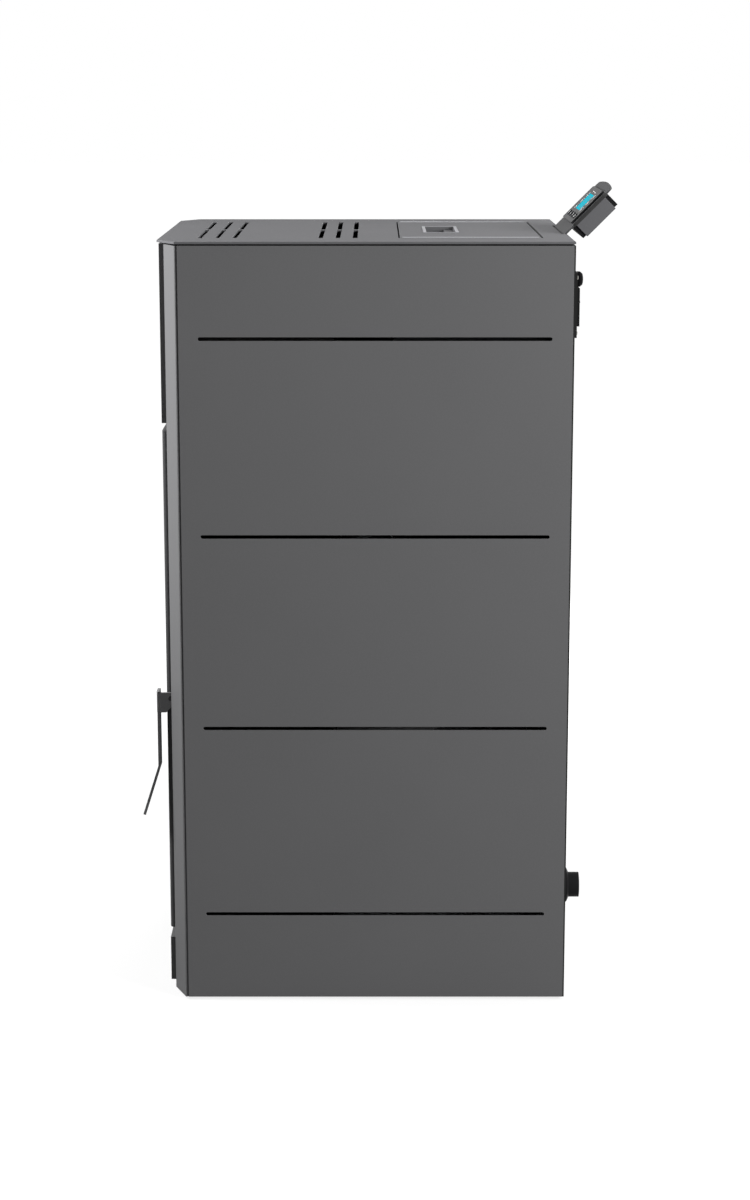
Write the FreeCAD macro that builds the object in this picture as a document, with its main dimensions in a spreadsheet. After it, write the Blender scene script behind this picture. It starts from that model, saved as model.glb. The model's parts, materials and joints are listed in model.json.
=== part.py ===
import FreeCAD, Part
import math
import os
import re
import Sketcher
from FreeCAD import Placement, Rotation, Vector

# A free-standing pellet stove. Millimetres, +Z up, front towards -Y, floor at Z = 0.
DOC = FreeCAD.newDocument("pellet_stove")
DIMS = DOC.addObject("Spreadsheet::Sheet", "dims")
PLACES = DOC.addObject("Spreadsheet::Sheet", "places")

# Driving dimensions, in millimetres and degrees.
SIZES = {
    # Casing
    "casing_width": 480,  # across both side panels
    "casing_depth": 504,  # bend of the side panel to the rear panel's outer face
    "casing_height": 1000,  # lower edge of the side panel to the top plate's upper face
    "casing_rear": 248,  # origin to the rear panel's outer face
    "floor_gap": 4,  # under the side panels
    "sheet": 2,  # casing steel
    "bend_radius": 1.5,
    "column_width": 39.5,  # slanted front column of a side panel, across the stove
    "column_run": 17,  # the same column, towards the front
    "column_return": 23,  # flange from the column back past the door's edge
    "crease_set": 1.2,  # bend of the side panel to the crease pressed beside it
    "crease_width": 2.2,
    "crease_depth": 1.5,
    "rear_return": 10,  # flange that the rear panel is screwed to
    "side_slot_length": 448,
    "side_slot_height": 4.8,
    "side_slot_low": 116,  # lowest slot above the panel's lower edge
    "side_slot_high": 122,  # highest slot below the top face
    "side_slot_count": 4,
    "top_sheet": 3,
    "top_edge": 1,  # rounding of the top plate's upper edge
    "top_overhang": 2,  # top plate past the front panels
    "shadow_gap": 2.2,  # between the side panels and the top plate
    "grille_reach": 170,  # half length of a row of top slots
    "grille_bridge": 10,  # metal left between the two slots of a row
    "grille_slot": 6.4,
    "grille_pitch": 22.2,
    "grille_rows": 3,
    "grille_front": 27,  # bend of the side panel to the first row
    "grille_rear": 182,  # bend of the side panel to the second group's first row
    "seam": 0.5,  # drawn gap between fixed sheets
    "fit": 0.3,  # clearance round a loose piece
    "running": 0.05,  # radial clearance of a pin or shaft
    "overrun": 1,  # how far a cutter passes the face it opens
    # Front
    "front_proud": 6,  # front panels ahead of the columns
    "front_depth": 17,  # front panels' face to the front frame
    "front_sheet": 3,
    "door_gap": 5.5,  # door edge to column
    "drawer_lift": 8,  # lower panel above the side panels' lower edge
    "drawer_height": 60,
    "lower_joint": 14,
    "door_height": 673,
    "upper_joint": 10,
    "frame_sheet": 3,
    "air_window_foot": 30,  # exchanger tubes to the air window above them
    "air_window_head": 13.8,  # air window to the frame's upper edge
    # Door
    "door_thick": 12,
    "window_stile": 67,  # door edge to the window
    "window_foot": 96,  # door's lower edge to the window
    "window_head": 84,  # window to the door's upper edge
    "window_corner": 14,
    "glass_lap": 14,  # glass past the window on each side
    "glass_thick": 4,
    "glass_room": 1,  # rebate past the glass on each side
    "glass_seat": 5.5,  # door's rear face to the glass seat
    "clip_reach": 22,
    "clip_width": 34,
    "clip_sheet": 1.2,
    "clip_set": 2,  # rebate edge to the clip's foot
    "rope_width": 10,
    "rope_margin": 18,  # door edge to the rope seal
    "hinge_pin": 4,  # radius
    "hinge_pin_grip": 26,  # length of the pin inside the door
    "hinge_pin_room": 1,  # bore past the pin's end
    "lug_sheet": 5,
    "lug_width": 16,
    # Latch and handle
    "latch_height": 404,  # pivot above the floor
    "latch_sheet": 2.6,
    "latch_eye": 8,  # outer radius of the lever round its pivot
    "latch_stud": 3.5,  # radius of the pivot
    "claw_reach": 18.5,  # pivot to the claw's rear face
    "claw_thick": 4.7,
    "claw_rise": 7,
    "claw_arm": 10,  # height of the arm that carries the claw
    "keeper_radius": 2.5,
    "keeper_rise": 6,  # keeper above the latch pivot
    "keeper_slack": 0.5,
    "handle_sheet": 3.6,
    "handle_width": 19,
    "handle_stand": 8.6,  # finger gap between the door and the strip
    "handle_above": 9.5,  # strip above the latch pivot
    "handle_straight": 101.5,
    "handle_leg": 70,  # flared lower leg
    "handle_flare": 17.6,
    "bracket_height": 27,
    "bracket_round": 1.8,  # fold between the lever and the strip
    "bracket_proud": 0.6,  # fold ahead of the strip
    # Hopper and lid
    "lid_width": 336,
    "lid_depth": 181,
    "lid_inset": 39,  # lid's rear edge ahead of the casing's rear face
    "lid_gap": 1,
    "lid_front_gap": 2,
    "lid_rear_gap": 3.4,
    "lid_sheet": 3,
    "lid_bead": 1.5,  # radius of the beads pressed along the lid's long edges
    "lid_bead_rise": 1.2,
    "lid_bead_inset": 3,
    "lid_barrel": 1.2,  # radius of the hinge knuckles
    "lid_play": 0.5,  # lid's edge to the knuckles
    "lid_barrel_drop": 1.3,  # hinge axis below the top face
    "lid_pin": 0.6,
    "lid_leaf": 16,
    "leaf_sheet": 1.2,
    "knuckle": 60,
    "knuckle_count": 5,
    "pull_width": 130,
    "pull_depth": 47,
    "pull_inset": 32,  # lid's front edge to the pull
    "pull_rim": 2.5,
    "pull_drop": 14,
    "pull_shelf": 13,  # shallow part of the pull, at its rear
    "pull_shelf_drop": 4,
    "hopper_side": 6,  # lid opening to the hopper's side walls
    "hopper_rear": 21.6,  # lid opening to the hopper's rear wall
    "hopper_bin": 150,  # straight upper part
    "throat_half": 24,
    "throat_depth": 70,
    "throat_rear": 128,  # throat ahead of the casing's rear face
    "throat_clear": 5.5,  # throat above the auger tube
    # Feed
    "auger_inset": 88,  # lower end ahead of the casing's rear face
    "auger_low_z": 430,
    "auger_gap": 2.83,  # tube's upper end to the firebox
    "auger_tilt": 40,
    "auger_length": 260,
    "auger_bore": 26,
    "auger_wall": 2,
    "auger_flight": 24.5,
    "auger_shaft": 8,
    "auger_pitch": 48,
    "auger_blade": 4,
    "auger_nose": 12,
    "gear_width": 76,
    "gear_height": 52,
    "gear_length": 34,
    "gear_grip": 26,  # length of the shaft inside the gearbox
    "gear_motor": 25,
    "gear_motor_length": 45,
    "chute_half": 24,
    "chute_low": 437,  # chute floor at the firebox
    "chute_depth": 68,
    "chute_fall": 68,
    "chute_mouth": 58,  # height of the opening into the firebox
    # Firebox
    "plate": 4,
    "firebox_width": 344,
    "firebox_floor": 90,
    "mouth_half": 150,
    "mouth_low": 120,
    "mouth_head": 20,  # fire mouth below the liners' upper edge
    "liner": 20,
    "liner_front": 14,
    "groove_width": 8,
    "groove_depth": 3,
    "groove_pitch": 37,  # of the rear board
    "groove_pitch_side": 22.2,
    "groove_count": 7,
    "baffle_sheet": 8,
    "baffle_lip": 24,
    "tube_radius": 20,
    "tube_wall": 1.5,
    "tube_pitch": 52,
    "tube_count": 6,
    "tube_height": 800,
    "tube_tail": 6,
    "tube_clear": 14,  # tubes above the baffle's lip
    "tube_roof": 40,  # firebox top above the tubes
    "ash_slot": 62,  # width of an ash slot beside the pot's support
    # Burn pot and air
    "pot_half": 52,
    "pot_depth": 84,
    "pot_wall": 5,
    "pot_drop": 40,
    "pot_rise": 36,
    "pot_lip": 10,
    "pot_hole": 3,
    "pot_hole_pitch": 18,
    "pot_columns": 5,
    "pot_rows": 4,
    "stand_margin": 4,  # support past the pot's flange on each side
    "stand_run": 7,  # the same at the front and rear
    "stand_height": 86,
    "stand_wall": 3,
    "duct_radius": 16.5,
    "duct_wall": 2,
    "duct_bend": 46,
    "duct_x": 30,  # where the duct meets the firebox
    "duct_run": 82,  # firebox to the duct's crossing run
    "spigot_inset": 26,  # from the side panel's inner face
    "spigot_sleeve": 6,  # length inside the rear panel
    "spigot_step": 1,
    "spigot_z": 152,
    "spigot_out": 19,
    "spigot_flange": 23,
    "spigot_flange_thick": 5,
    "igniter_x": -30,
    "igniter_rod": 5,
    "igniter_holder": 10,
    "igniter_tail": 44,
    "igniter_gap": 1,  # rod to the burn pot
    # Exhaust
    "fan_gap": 7,  # motor to the side panel
    "fan_z": 175,
    "scroll_width": 60,
    "scroll_wall": 2,
    "scroll_start": 66,
    "scroll_step": 8,
    "scroll_outlet": 110,
    "impeller_radius": 54,
    "impeller_width": 32,
    "impeller_disc": 2,
    "impeller_blades": 10,
    "impeller_hub": 11,
    "impeller_hub_length": 19.2,
    "impeller_root": 8,  # hub to the blades
    "impeller_rim": 1,  # blade tips inside the disc's edge
    "impeller_gap": 3,  # disc to the scroll
    "fan_shaft": 4,
    "fan_shaft_grip": 23,  # shaft behind the disc
    "fan_eye": 36,
    "fan_motor": 38,
    "fan_motor_length": 46,
    "fan_can_length": 32.2,
    "fan_bell": 26.6,  # radius of the end bell
    "fan_bore": 27.6,  # depth of the shaft hole
    "smoke_width": 50,
    "smoke_height": 84,
    "smoke_reach": 44,  # fan axis to the duct's closed end
    "flue_bore": 40.3,
    "flue_wall": 2,
    "flue_flange": 4,
    "flue_rim": 6,  # flange past the tube
    "flue_length": 33,
    # Room air fan
    "blower_left": -60,
    "blower_length": 210,
    "blower_inset": 76,  # axis ahead of the casing's rear face
    "blower_z": 70,
    "blower_radius": 30,
    "blower_room": 44,
    "blower_blades": 20,
    "blower_rim": 1,  # blade tips inside the disc's edge
    "blower_blade": 8,  # depth of a blade
    "blower_lean": 5,
    "blower_blade_thick": 1,
    "blower_blade_skew": 0.6,
    "blower_end": 4,  # cage to the housing's end wall
    "blower_inlet": 48,  # height of the inlet
    "blower_disc": 2,
    "blower_shaft": 4,
    "blower_motor": 28,
    "blower_motor_length": 38,
    "blower_bore": 26.6,  # depth of the shaft hole
    "blower_grip": 16.8,  # shaft inside the motor
    # Base
    "pan_lift": 4,
    "foot_radius": 17,
    "foot_height": 6,
    "foot_stud": 4,
    "foot_inset": 46,
    "post": 20,
    "post_set": 6,  # bend of the side panel to the front posts
    "rail_drop": 20,
    "drawer_reach": 156,
    "drawer_run": 180,
    "drawer_wall": 1.5,
    "drawer_side": 46,
    "rail_ledge": 12,
    # Control box, rear fittings
    "control_gap": 12,  # from the rear corner angle
    "control_width": 96,
    "control_drop": 16,  # box below the hopper's throat
    "control_height": 170,
    "control_depth": 46,
    "control_round": 4,
    "inlet_inset": 41,  # from the casing's side
    "inlet_width": 54,
    "inlet_drop": 34.8,  # plate below the rear panel's upper edge
    "inlet_height": 82,
    "inlet_sheet": 3.7,
    "socket_width": 42,
    "socket_low": 14,
    "socket_height": 48,
    "socket_proud": 3.6,
    "socket_rim": 5,
    "blade_width": 2,
    "blade_height": 4,
    "blade_pitch": 7.2,
    "blade_stagger": 2,
    "rocker_width": 19,
    "rocker_height": 13,
    "rocker_proud": 1.6,
    "rocker_room": 1,
    "rocker_depth": 9.1,  # depth of its recess
    "rocker_pin": 1,  # radius of its pivot
    "rocker_pin_reach": 1.5,
    "cap_radius": 9.5,
    "cap_proud": 8.7,
    "cap_wall": 5.2,  # straight part of its side
    "cap_shoulder": 7.1,  # radius where its top begins to flatten
    "cap_flat": 3.8,
    "cap_ease": 0.7,
    "louvre_width": 90,
    "louvre_gap": 27,  # between the two columns of louvres
    "louvre_height": 5,
    "louvre_pitch": 16,
    "louvre_count": 9,
    "louvre_low": 300,
    # Console
    "console_set": 3.4,  # foot on the top face ahead of the casing's rear face
    "console_lean": 45,
    "console_half": 91,
    "console_side": 84,  # sides along the slope, before the corners are rounded
    "console_crown": 5,  # rise of the curved upper edge
    "console_corner": 9,
    "console_sheet": 2,
    "console_foot": 7,
    "housing_half": 83,
    "housing_low": 13.5,
    "housing_high": 76,
    "housing_depth": 20,
    "cover_low": 19,
    "cover_high": 70.5,
    "cover_sheet": 2,
    "bezel_half": 70,
    "bezel_low": 16.5,
    "bezel_high": 74.7,
    "bezel_thick": 3,
    "lcd_half": 31,
    "lcd_low": 36,
    "lcd_high": 63.5,
    "key_count": 4,
    "key_pitch": 30,
    "key_half": 8,
    "key_low": 22.5,
    "key_high": 30.5,
    "key_proud": 1,
    "key_thick": 2.8,
    "key_corner": 2.5,
}

# Places worked out from the sizes.
STATIONS = {
    "half": "casing_width / 2",
    "inner_half": "half - sheet",
    "column_x": "half - column_width",
    "fold": "sqrt(column_width^2 + column_run^2)",
    "side_slot_pitch": "(casing_height - side_slot_low - side_slot_high) / (side_slot_count - 1)",
    "back_y": "casing_rear - sheet",
    "bend_y": "casing_rear - casing_depth",
    "column_y": "bend_y - column_run",
    "front_y": "column_y - front_proud",
    "frame_y": "front_y + front_depth",
    "frame_back": "frame_y + frame_sheet",
    "top_z": "floor_gap + casing_height",
    "top_under": "top_z - top_sheet",
    "panel_top": "top_under - shadow_gap",
    "tube_top": "tube_height + tube_radius",
    "air_window_low": "tube_top + air_window_foot",
    "air_window_high": "panel_top - air_window_head",
    "pan_z": "floor_gap + pan_lift",
    "pan_top": "pan_z + sheet",
    "drawer_low": "floor_gap + drawer_lift",
    "drawer_high": "drawer_low + drawer_height",
    "door_low": "drawer_high + lower_joint",
    "door_high": "door_low + door_height",
    "upper_low": "door_high + upper_joint",
    "door_half": "column_x - door_gap",
    "window_reach": "door_half - window_stile",
    "door_back": "front_y + door_thick",
    "hinge_x": "-(door_half - door_thick / 2)",
    "hinge_y": "front_y + door_thick / 2",
    "window_low": "door_low + window_foot",
    "window_high": "door_high - window_head",
    "glass_y": "door_back - glass_seat",
    "latch_x": "(door_half + column_x) / 2 - latch_sheet / 2",
    "strip_back": "front_y - handle_stand",
    "strip_front": "strip_back - handle_sheet",
    "strip_top": "latch_height + handle_above",
    "bracket_low": "latch_height + latch_eye - bracket_height",
    "strip_bend": "strip_top - handle_straight",
    "claw_back": "hinge_y + claw_reach",
    "claw_front": "claw_back - claw_thick",
    "keeper_y": "claw_front - keeper_slack - keeper_radius",
    "keeper_z": "latch_height + keeper_rise",
    "lid_half": "lid_width / 2",
    "lid_rear": "casing_rear - lid_inset",
    "lid_front": "lid_rear - lid_depth",
    "mouth_front": "lid_front - lid_front_gap",
    "mouth_rear": "lid_rear + lid_rear_gap",
    "lid_axis_y": "lid_rear + lid_barrel + lid_play",
    "lid_axis_z": "top_z - lid_barrel_drop",
    "pull_front": "lid_front + pull_inset",
    "bin_half": "lid_half + lid_gap + hopper_side",
    "bin_front": "mouth_front - hopper_side",
    "bin_rear": "mouth_rear + hopper_rear",
    "throat_back": "casing_rear - throat_rear",
    "throat_front": "throat_back - throat_depth",
    "auger_outer": "auger_bore + auger_wall",
    "auger_low_y": "casing_rear - auger_inset",
    "auger_high_y": "auger_low_y - auger_length * cos(auger_tilt)",
    "auger_high_z": "auger_low_z + auger_length * sin(auger_tilt)",
    "neck_rise": "(auger_low_y - throat_front + sheet) * tan(auger_tilt)",
    "throat_height": "auger_low_z + neck_rise + auger_outer / cos(auger_tilt) + throat_clear",
    "chute_top": "auger_high_z - auger_outer * cos(auger_tilt)",
    "firebox_half": "firebox_width / 2",
    "firebox_back": "auger_high_y - auger_outer * sin(auger_tilt) - auger_gap",
    "firebox_top": "tube_top + tube_roof",
    "chute_rear": "firebox_back + chute_depth",
    "liner_top": "tube_height - tube_radius - tube_clear - baffle_lip",
    "mouth_high": "liner_top - mouth_head",
    "firebox_in": "firebox_half - plate",
    "hearth": "firebox_floor + plate",
    "liner_in": "firebox_in - liner",
    "liner_back": "firebox_back - plate",
    "liner_face": "liner_back - liner",
    "stand_top": "hearth + stand_height",
    "stand_half": "pot_half + pot_lip + stand_margin",
    "stand_front": "liner_face - pot_depth - 2 * (pot_lip + stand_run)",
    "pot_y": "(stand_front + liner_face) / 2",
    "duct_y": "firebox_back + duct_run",
    "spigot_x": "inner_half - spigot_inset",
    "fan_x": "-(inner_half - fan_gap - fan_motor_length - scroll_width / 2)",
    "flue_y": "casing_rear - flue_length",
    "fan_y": "flue_y - scroll_outlet",
    "flue_z": "fan_z + (scroll_start + 3 * scroll_step) / 2",
    "scroll_right": "fan_x + scroll_width / 2",
    "scroll_left": "fan_x - scroll_width / 2",
    "smoke_right": "scroll_right + smoke_width",
    "blower_right": "blower_left + blower_length",
    "blower_y": "casing_rear - blower_inset",
    "blower_tip": "blower_radius - blower_rim",
    "blower_root": "blower_tip - blower_blade",
    "control_left": "inner_half - post - control_gap - control_width",
    "control_low": "throat_height - control_drop - control_height",
    "inlet_x": "half - inlet_inset",
    "inlet_low": "panel_top - inlet_drop - inlet_height",
    "inlet_back": "casing_rear + inlet_sheet",
    "socket_y": "inlet_back + socket_proud",
    "socket_foot": "inlet_low + socket_low",
    "rocker_z": "socket_foot + socket_height - rocker_height",
    "rocker_y": "socket_y - rocker_height / 4",
    "console_y": "casing_rear - console_set",
}

NAMES = {alias: f"dims.{alias}" for alias in SIZES} | {alias: f"places.{alias}" for alias in STATIONS}
NODES = {}


def expression(text):
    """The text with each size or place written as a reference to its sheet."""
    return re.sub(r"[a-z][a-z0-9_]*", lambda word: NAMES.get(word.group(), word.group()), text)


def fill(sheet, cells):
    """Writes one named cell per row."""
    for row, (alias, content) in enumerate(cells.items(), start=1):
        sheet.set(f"A{row}", alias)
        sheet.set(f"B{row}", content)
        sheet.setAlias(f"B{row}", alias)
    DOC.recompute()


def value(text):
    """What an expression comes to now, as a plain number."""
    return float(DIMS.evalExpression(expression(text)))


def bind(item, prop, text):
    """Ties a property to an expression of the sizes."""
    item.setExpression(prop, expression(text))


def node(item):
    """Keeps an object as a sub-part of the stove, under its label."""
    NODES[item.Label] = item
    return item


def both(reach):
    """A span of equal reach on both sides of zero."""
    return f"-({reach})", reach


def about(centre, size):
    """A span of a size round a centre."""
    return f"({centre}) - ({size}) / 2", f"({centre}) + ({size}) / 2"


def span(start, size):
    """A span of a size from its start."""
    return start, f"({start}) + ({size})"


def grown(pair, margin):
    """A span made longer at both ends."""
    return f"({pair[0]}) - ({margin})", f"({pair[1]}) + ({margin})"


def box(name, x, y, z):
    """A block between three pairs of faces."""
    block = DOC.addObject("Part::Box", name)
    for axis, size, (low, high) in zip("xyz", ("Length", "Width", "Height"), (x, y, z)):
        bind(block, size, f"({high}) - ({low})")
        bind(block, f"Placement.Base.{axis}", low)
    return block


AXIS_TURN = {
    "x": Rotation(Vector(0, 1, 0), 90),
    "y": Rotation(Vector(1, 0, 0), -90),
    "z": Rotation(),
}


def rod(name, axis, along, centre, radius):
    """A round bar along an axis; the centre gives the other two coordinates in order."""
    bar = DOC.addObject("Part::Cylinder", name)
    bar.Placement = Placement(Vector(), AXIS_TURN[axis])
    low, high = along
    bind(bar, "Radius", radius)
    bind(bar, "Height", f"({high}) - ({low})")
    bind(bar, f"Placement.Base.{axis}", low)
    for other, place in zip("xyz".replace(axis, ""), centre):
        bind(bar, f"Placement.Base.{other}", place)
    return bar


def cut(name, base, *tools):
    """The base with every tool taken away."""
    piece = DOC.addObject("Part::Cut", name)
    piece.Base = base
    piece.Tool = tools[0] if len(tools) == 1 else union(f"{name}_tools", *tools)
    return piece


def union(name, *items):
    """Solids welded into one."""
    piece = DOC.addObject("Part::MultiFuse", name)
    piece.Shapes = list(items)
    piece.Refine = True
    return piece


def group(name, *items):
    """Separate solids that share one node."""
    piece = DOC.addObject("Part::Compound", name)
    piece.Links = list(items)
    return piece


def body(name):
    """A feature body."""
    return DOC.addObject("PartDesign::Body", name)


def sketch(part, plane, offset="0"):
    """A sketch on one of the body's origin planes, moved along the plane's normal."""
    drawing = part.newObject("Sketcher::SketchObject", f"{part.Name}_sketch")
    base = next(item for item in part.Origin.OriginFeatures if item.Role == plane)
    drawing.AttachmentSupport = (base, [""])
    drawing.MapMode = "FlatFace"
    bind(drawing, "AttachmentOffset.Base.z", offset)
    return drawing


def pin_point(drawing, geometry, spot, place):
    """Binds a point of the sketch to a pair of expressions."""
    for kind, text in zip(("DistanceX", "DistanceY"), place):
        index = drawing.addConstraint(Sketcher.Constraint(kind, -1, 1, geometry, spot, value(text)))
        bind(drawing, f"Constraints[{index}]", text)


def polygon(drawing, corners):
    """A closed outline of straight lines with every corner bound."""
    first = drawing.GeometryCount
    spots = [Vector(value(x), value(y), 0) for x, y in corners]
    for here, there in zip(spots, spots[1:] + spots[:1]):
        drawing.addGeometry(Part.LineSegment(here, there))
    for index, corner in enumerate(corners):
        following = first + (index + 1) % len(corners)
        drawing.addConstraint(Sketcher.Constraint("Coincident", first + index, 2, following, 1))
        pin_point(drawing, first + index, 1, corner)


def rectangle(drawing, x, y):
    """A rectangle between two pairs of edges."""
    polygon(drawing, [(x[0], y[0]), (x[1], y[0]), (x[1], y[1]), (x[0], y[1])])


def circle(drawing, x, y, radius):
    """A circle with its centre and radius bound."""
    ring = Part.Circle(Vector(value(x), value(y), 0), Vector(0, 0, 1), value(radius))
    geometry = drawing.addGeometry(ring)
    pin_point(drawing, geometry, 3, (x, y))
    index = drawing.addConstraint(Sketcher.Constraint("Radius", geometry, value(radius)))
    bind(drawing, f"Constraints[{index}]", radius)


def pad(part, drawing, length):
    """The sketch carried along its normal."""
    feature = part.newObject("PartDesign::Pad", f"{part.Name}_pad")
    feature.Profile = drawing
    bind(feature, "Length", length)
    DOC.recompute()
    return feature


def pocket(part, drawing):
    """The sketch cut right through the body, both ways."""
    feature = part.newObject("PartDesign::Pocket", f"{part.Name}_pocket")
    feature.Profile = drawing
    feature.Type = "ThroughAll"
    feature.Midplane = True
    DOC.recompute()
    return feature


def row_of(part, feature, drawing, axis, pitch, count):
    """Copies of a feature along a sketch axis."""
    pattern = part.newObject("PartDesign::LinearPattern", f"{part.Name}_row")
    pattern.Originals = [feature]
    pattern.Direction = (drawing, [axis])
    bind(pattern, "Length", f"({pitch}) * (({count}) - 1)")
    bind(pattern, "Occurrences", count)
    part.Tip = pattern
    DOC.recompute()
    return pattern


def ring_of(part, feature, drawing, count):
    """Copies of a feature round the sketch's normal."""
    pattern = part.newObject("PartDesign::PolarPattern", f"{part.Name}_ring")
    pattern.Originals = [feature]
    pattern.Axis = (drawing, ["N_Axis"])
    pattern.Angle = 360
    bind(pattern, "Occurrences", count)
    part.Tip = pattern
    DOC.recompute()
    return pattern


def rounded(part, feature, radius, wanted):
    """Rounds the edges of a feature that the test picks."""
    edges = [f"Edge{i}" for i, edge in enumerate(feature.Shape.Edges, start=1) if wanted(edge)]
    fillet = part.newObject("PartDesign::Fillet", f"{part.Name}_fillet")
    fillet.Base = (feature, edges)
    bind(fillet, "Radius", radius)
    DOC.recompute()
    return fillet


NEAR = 0.01


def upright(x, y):
    """Picks the edge parallel to Z through a point of the plan."""
    def wanted(edge):
        return all(abs(v.X - value(x)) < NEAR and abs(v.Y - value(y)) < NEAR for v in edge.Vertexes)
    return wanted


def level(z):
    """Picks the edges that lie at one height."""
    def wanted(edge):
        return all(abs(vertex.Z - value(z)) < NEAR for vertex in edge.Vertexes)
    return wanted


def rises(edge):
    """Picks the edges whose ends lie at different heights."""
    return abs(edge.Vertexes[0].Z - edge.Vertexes[-1].Z) > NEAR


def prism(name, plane, corners, along):
    """A polygon on an origin plane carried from one station to another along the plane's axis."""
    part = body(name)
    low, high = along
    drawing = sketch(part, plane, f"-({high})" if plane == "XZ_Plane" else low)
    polygon(drawing, corners)
    pad(part, drawing, f"({high}) - ({low})")
    return part


def shell_tray(name, x, y, z, wall, front):
    """An open pan: a face at the front and four flanges behind it."""
    outer = box(f"{name}_outer", x, y, z)
    hollow = box(
        f"{name}_hollow",
        grown(x, f"-({wall})"),
        (f"({y[0]}) + ({front})", f"({y[1]}) + overrun"),
        grown(z, f"-({wall})"),
    )
    return cut(name, outer, hollow)


def side_panel(side, sign):
    """One folded sheet: rear return, slotted wall, crease, slanted column, return beside the door."""
    panel = body(f"side_panel_{side}")
    section = [
        ("half - rear_return", "back_y"),
        ("half", "back_y"),
        ("half", "bend_y + crease_set + crease_width"),
        ("half - crease_depth", "bend_y + crease_set + crease_width"),
        ("half - crease_depth", "bend_y + crease_set"),
        ("half", "bend_y + crease_set"),
        ("half", "bend_y"),
        ("column_x", "column_y"),
        ("column_x", "column_y + column_return"),
        ("column_x + sheet", "column_y + column_return"),
        ("column_x + sheet", "column_y + sheet * (fold + column_run) / column_width"),
        ("inner_half", "bend_y + sheet * (fold - column_run) / column_width"),
        ("inner_half", "back_y - sheet"),
        ("half - rear_return", "back_y - sheet"),
    ]
    outline = sketch(panel, "XY_Plane", "floor_gap")
    polygon(outline, [(f"{sign} * ({x})", y) for x, y in section])
    folded = pad(panel, outline, "panel_top - floor_gap")
    bends = [upright(f"{sign} * half", "bend_y"), upright(f"{sign} * column_x", "column_y")]
    rounded(panel, folded, "bend_radius", lambda edge: any(bend(edge) for bend in bends))
    opening = sketch(panel, "YZ_Plane")
    middle = "(bend_y + casing_rear) / 2"
    slot(opening, about(middle, "side_slot_length"), "floor_gap + side_slot_low", "side_slot_height")
    row_of(panel, pocket(panel, opening), opening, "V_Axis", "side_slot_pitch", "side_slot_count")
    return node(panel)


def slot(drawing, x, y, height):
    """A slot with round ends: two lines and two half circles."""
    radius = value(height) / 2
    start, end = value(x[0]) + radius, value(x[1]) - radius
    level_y = value(y)
    up = Vector(0, 0, 1)
    square = math.pi / 2
    left = Part.ArcOfCircle(Part.Circle(Vector(start, level_y, 0), up, radius), square, 3 * square)
    right = Part.ArcOfCircle(Part.Circle(Vector(end, level_y, 0), up, radius), -square, square)
    lower = Part.LineSegment(Vector(start, level_y - radius, 0), Vector(end, level_y - radius, 0))
    upper = Part.LineSegment(Vector(end, level_y + radius, 0), Vector(start, level_y + radius, 0))
    arc_a, line_a, arc_b, line_b = [drawing.addGeometry(item) for item in (left, lower, right, upper)]
    for one, spot, other, end_spot in (
        (arc_a, 2, line_a, 1),
        (line_a, 2, arc_b, 1),
        (arc_b, 2, line_b, 1),
        (line_b, 2, arc_a, 1),
    ):
        drawing.addConstraint(Sketcher.Constraint("Tangent", one, spot, other, end_spot))
    pin_point(drawing, arc_a, 3, (f"({x[0]}) + ({height}) / 2", y))
    index = drawing.addConstraint(
        Sketcher.Constraint("DistanceX", -1, 1, arc_b, 3, value(x[1]) - radius)
    )
    bind(drawing, f"Constraints[{index}]", f"({x[1]}) - ({height}) / 2")
    drawing.addConstraint(Sketcher.Constraint("Horizontal", line_a))
    index = drawing.addConstraint(Sketcher.Constraint("Radius", arc_a, radius))
    bind(drawing, f"Constraints[{index}]", f"({height}) / 2")


def top_plate():
    """Thick top sheet with cut corners, two grilles, the lid opening and the console's notch."""
    plate = body("top_plate")
    outline = sketch(plate, "XY_Plane", "top_under")
    right = [("half", "casing_rear"), ("half", "bend_y"), ("column_x", "front_y - top_overhang")]
    left = [(f"-({x})", y) for x, y in reversed(right)]
    polygon(outline, right + left)
    rounded(plate, pad(plate, outline, "top_sheet"), "top_edge", level("top_z"))
    opening = sketch(plate, "XY_Plane", "top_under")
    rectangle(opening, both("lid_half + lid_gap"), ("mouth_front", "mouth_rear"))
    rectangle(opening, both("console_half + seam"),
              ("console_y - top_sheet - overrun", "casing_rear + overrun"))
    pocket(plate, opening)
    for start in ("grille_front", "grille_rear"):
        slots = sketch(plate, "XY_Plane", "top_under")
        across = about(f"bend_y + {start}", "grille_slot")
        rectangle(slots, ("grille_bridge / 2", "grille_reach"), across)
        rectangle(slots, ("-grille_reach", "-grille_bridge / 2"), across)
        row_of(plate, pocket(plate, slots), slots, "V_Axis", "grille_pitch", "grille_rows")
    return node(plate)


def rear_panel():
    """Flat sheet over the back, with louvres, the flue and air holes and the inlet window."""
    panel = body("rear_panel")
    outline = sketch(panel, "XZ_Plane", "-casing_rear")
    rectangle(outline, both("half - seam"), ("floor_gap", "panel_top"))
    pad(panel, outline, "sheet")
    holes = sketch(panel, "XZ_Plane", "-casing_rear")
    circle(holes, "fan_x", "flue_z", "flue_bore + flue_wall + fit")
    circle(holes, "spigot_x", "spigot_z", "duct_radius + fit")
    window = about("inlet_x", "socket_width - 2 * inlet_sheet")
    rectangle(holes, window, span("socket_foot", "socket_height"))
    pocket(panel, holes)
    for side in (-1, 1):
        louvre = sketch(panel, "XZ_Plane", "-casing_rear")
        rectangle(louvre, about(f"{side} * (louvre_width + louvre_gap) / 2", "louvre_width"),
                  span("louvre_low", "louvre_height"))
        row_of(panel, pocket(panel, louvre), louvre, "V_Axis", "louvre_pitch", "louvre_count")
    return node(panel)


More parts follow.
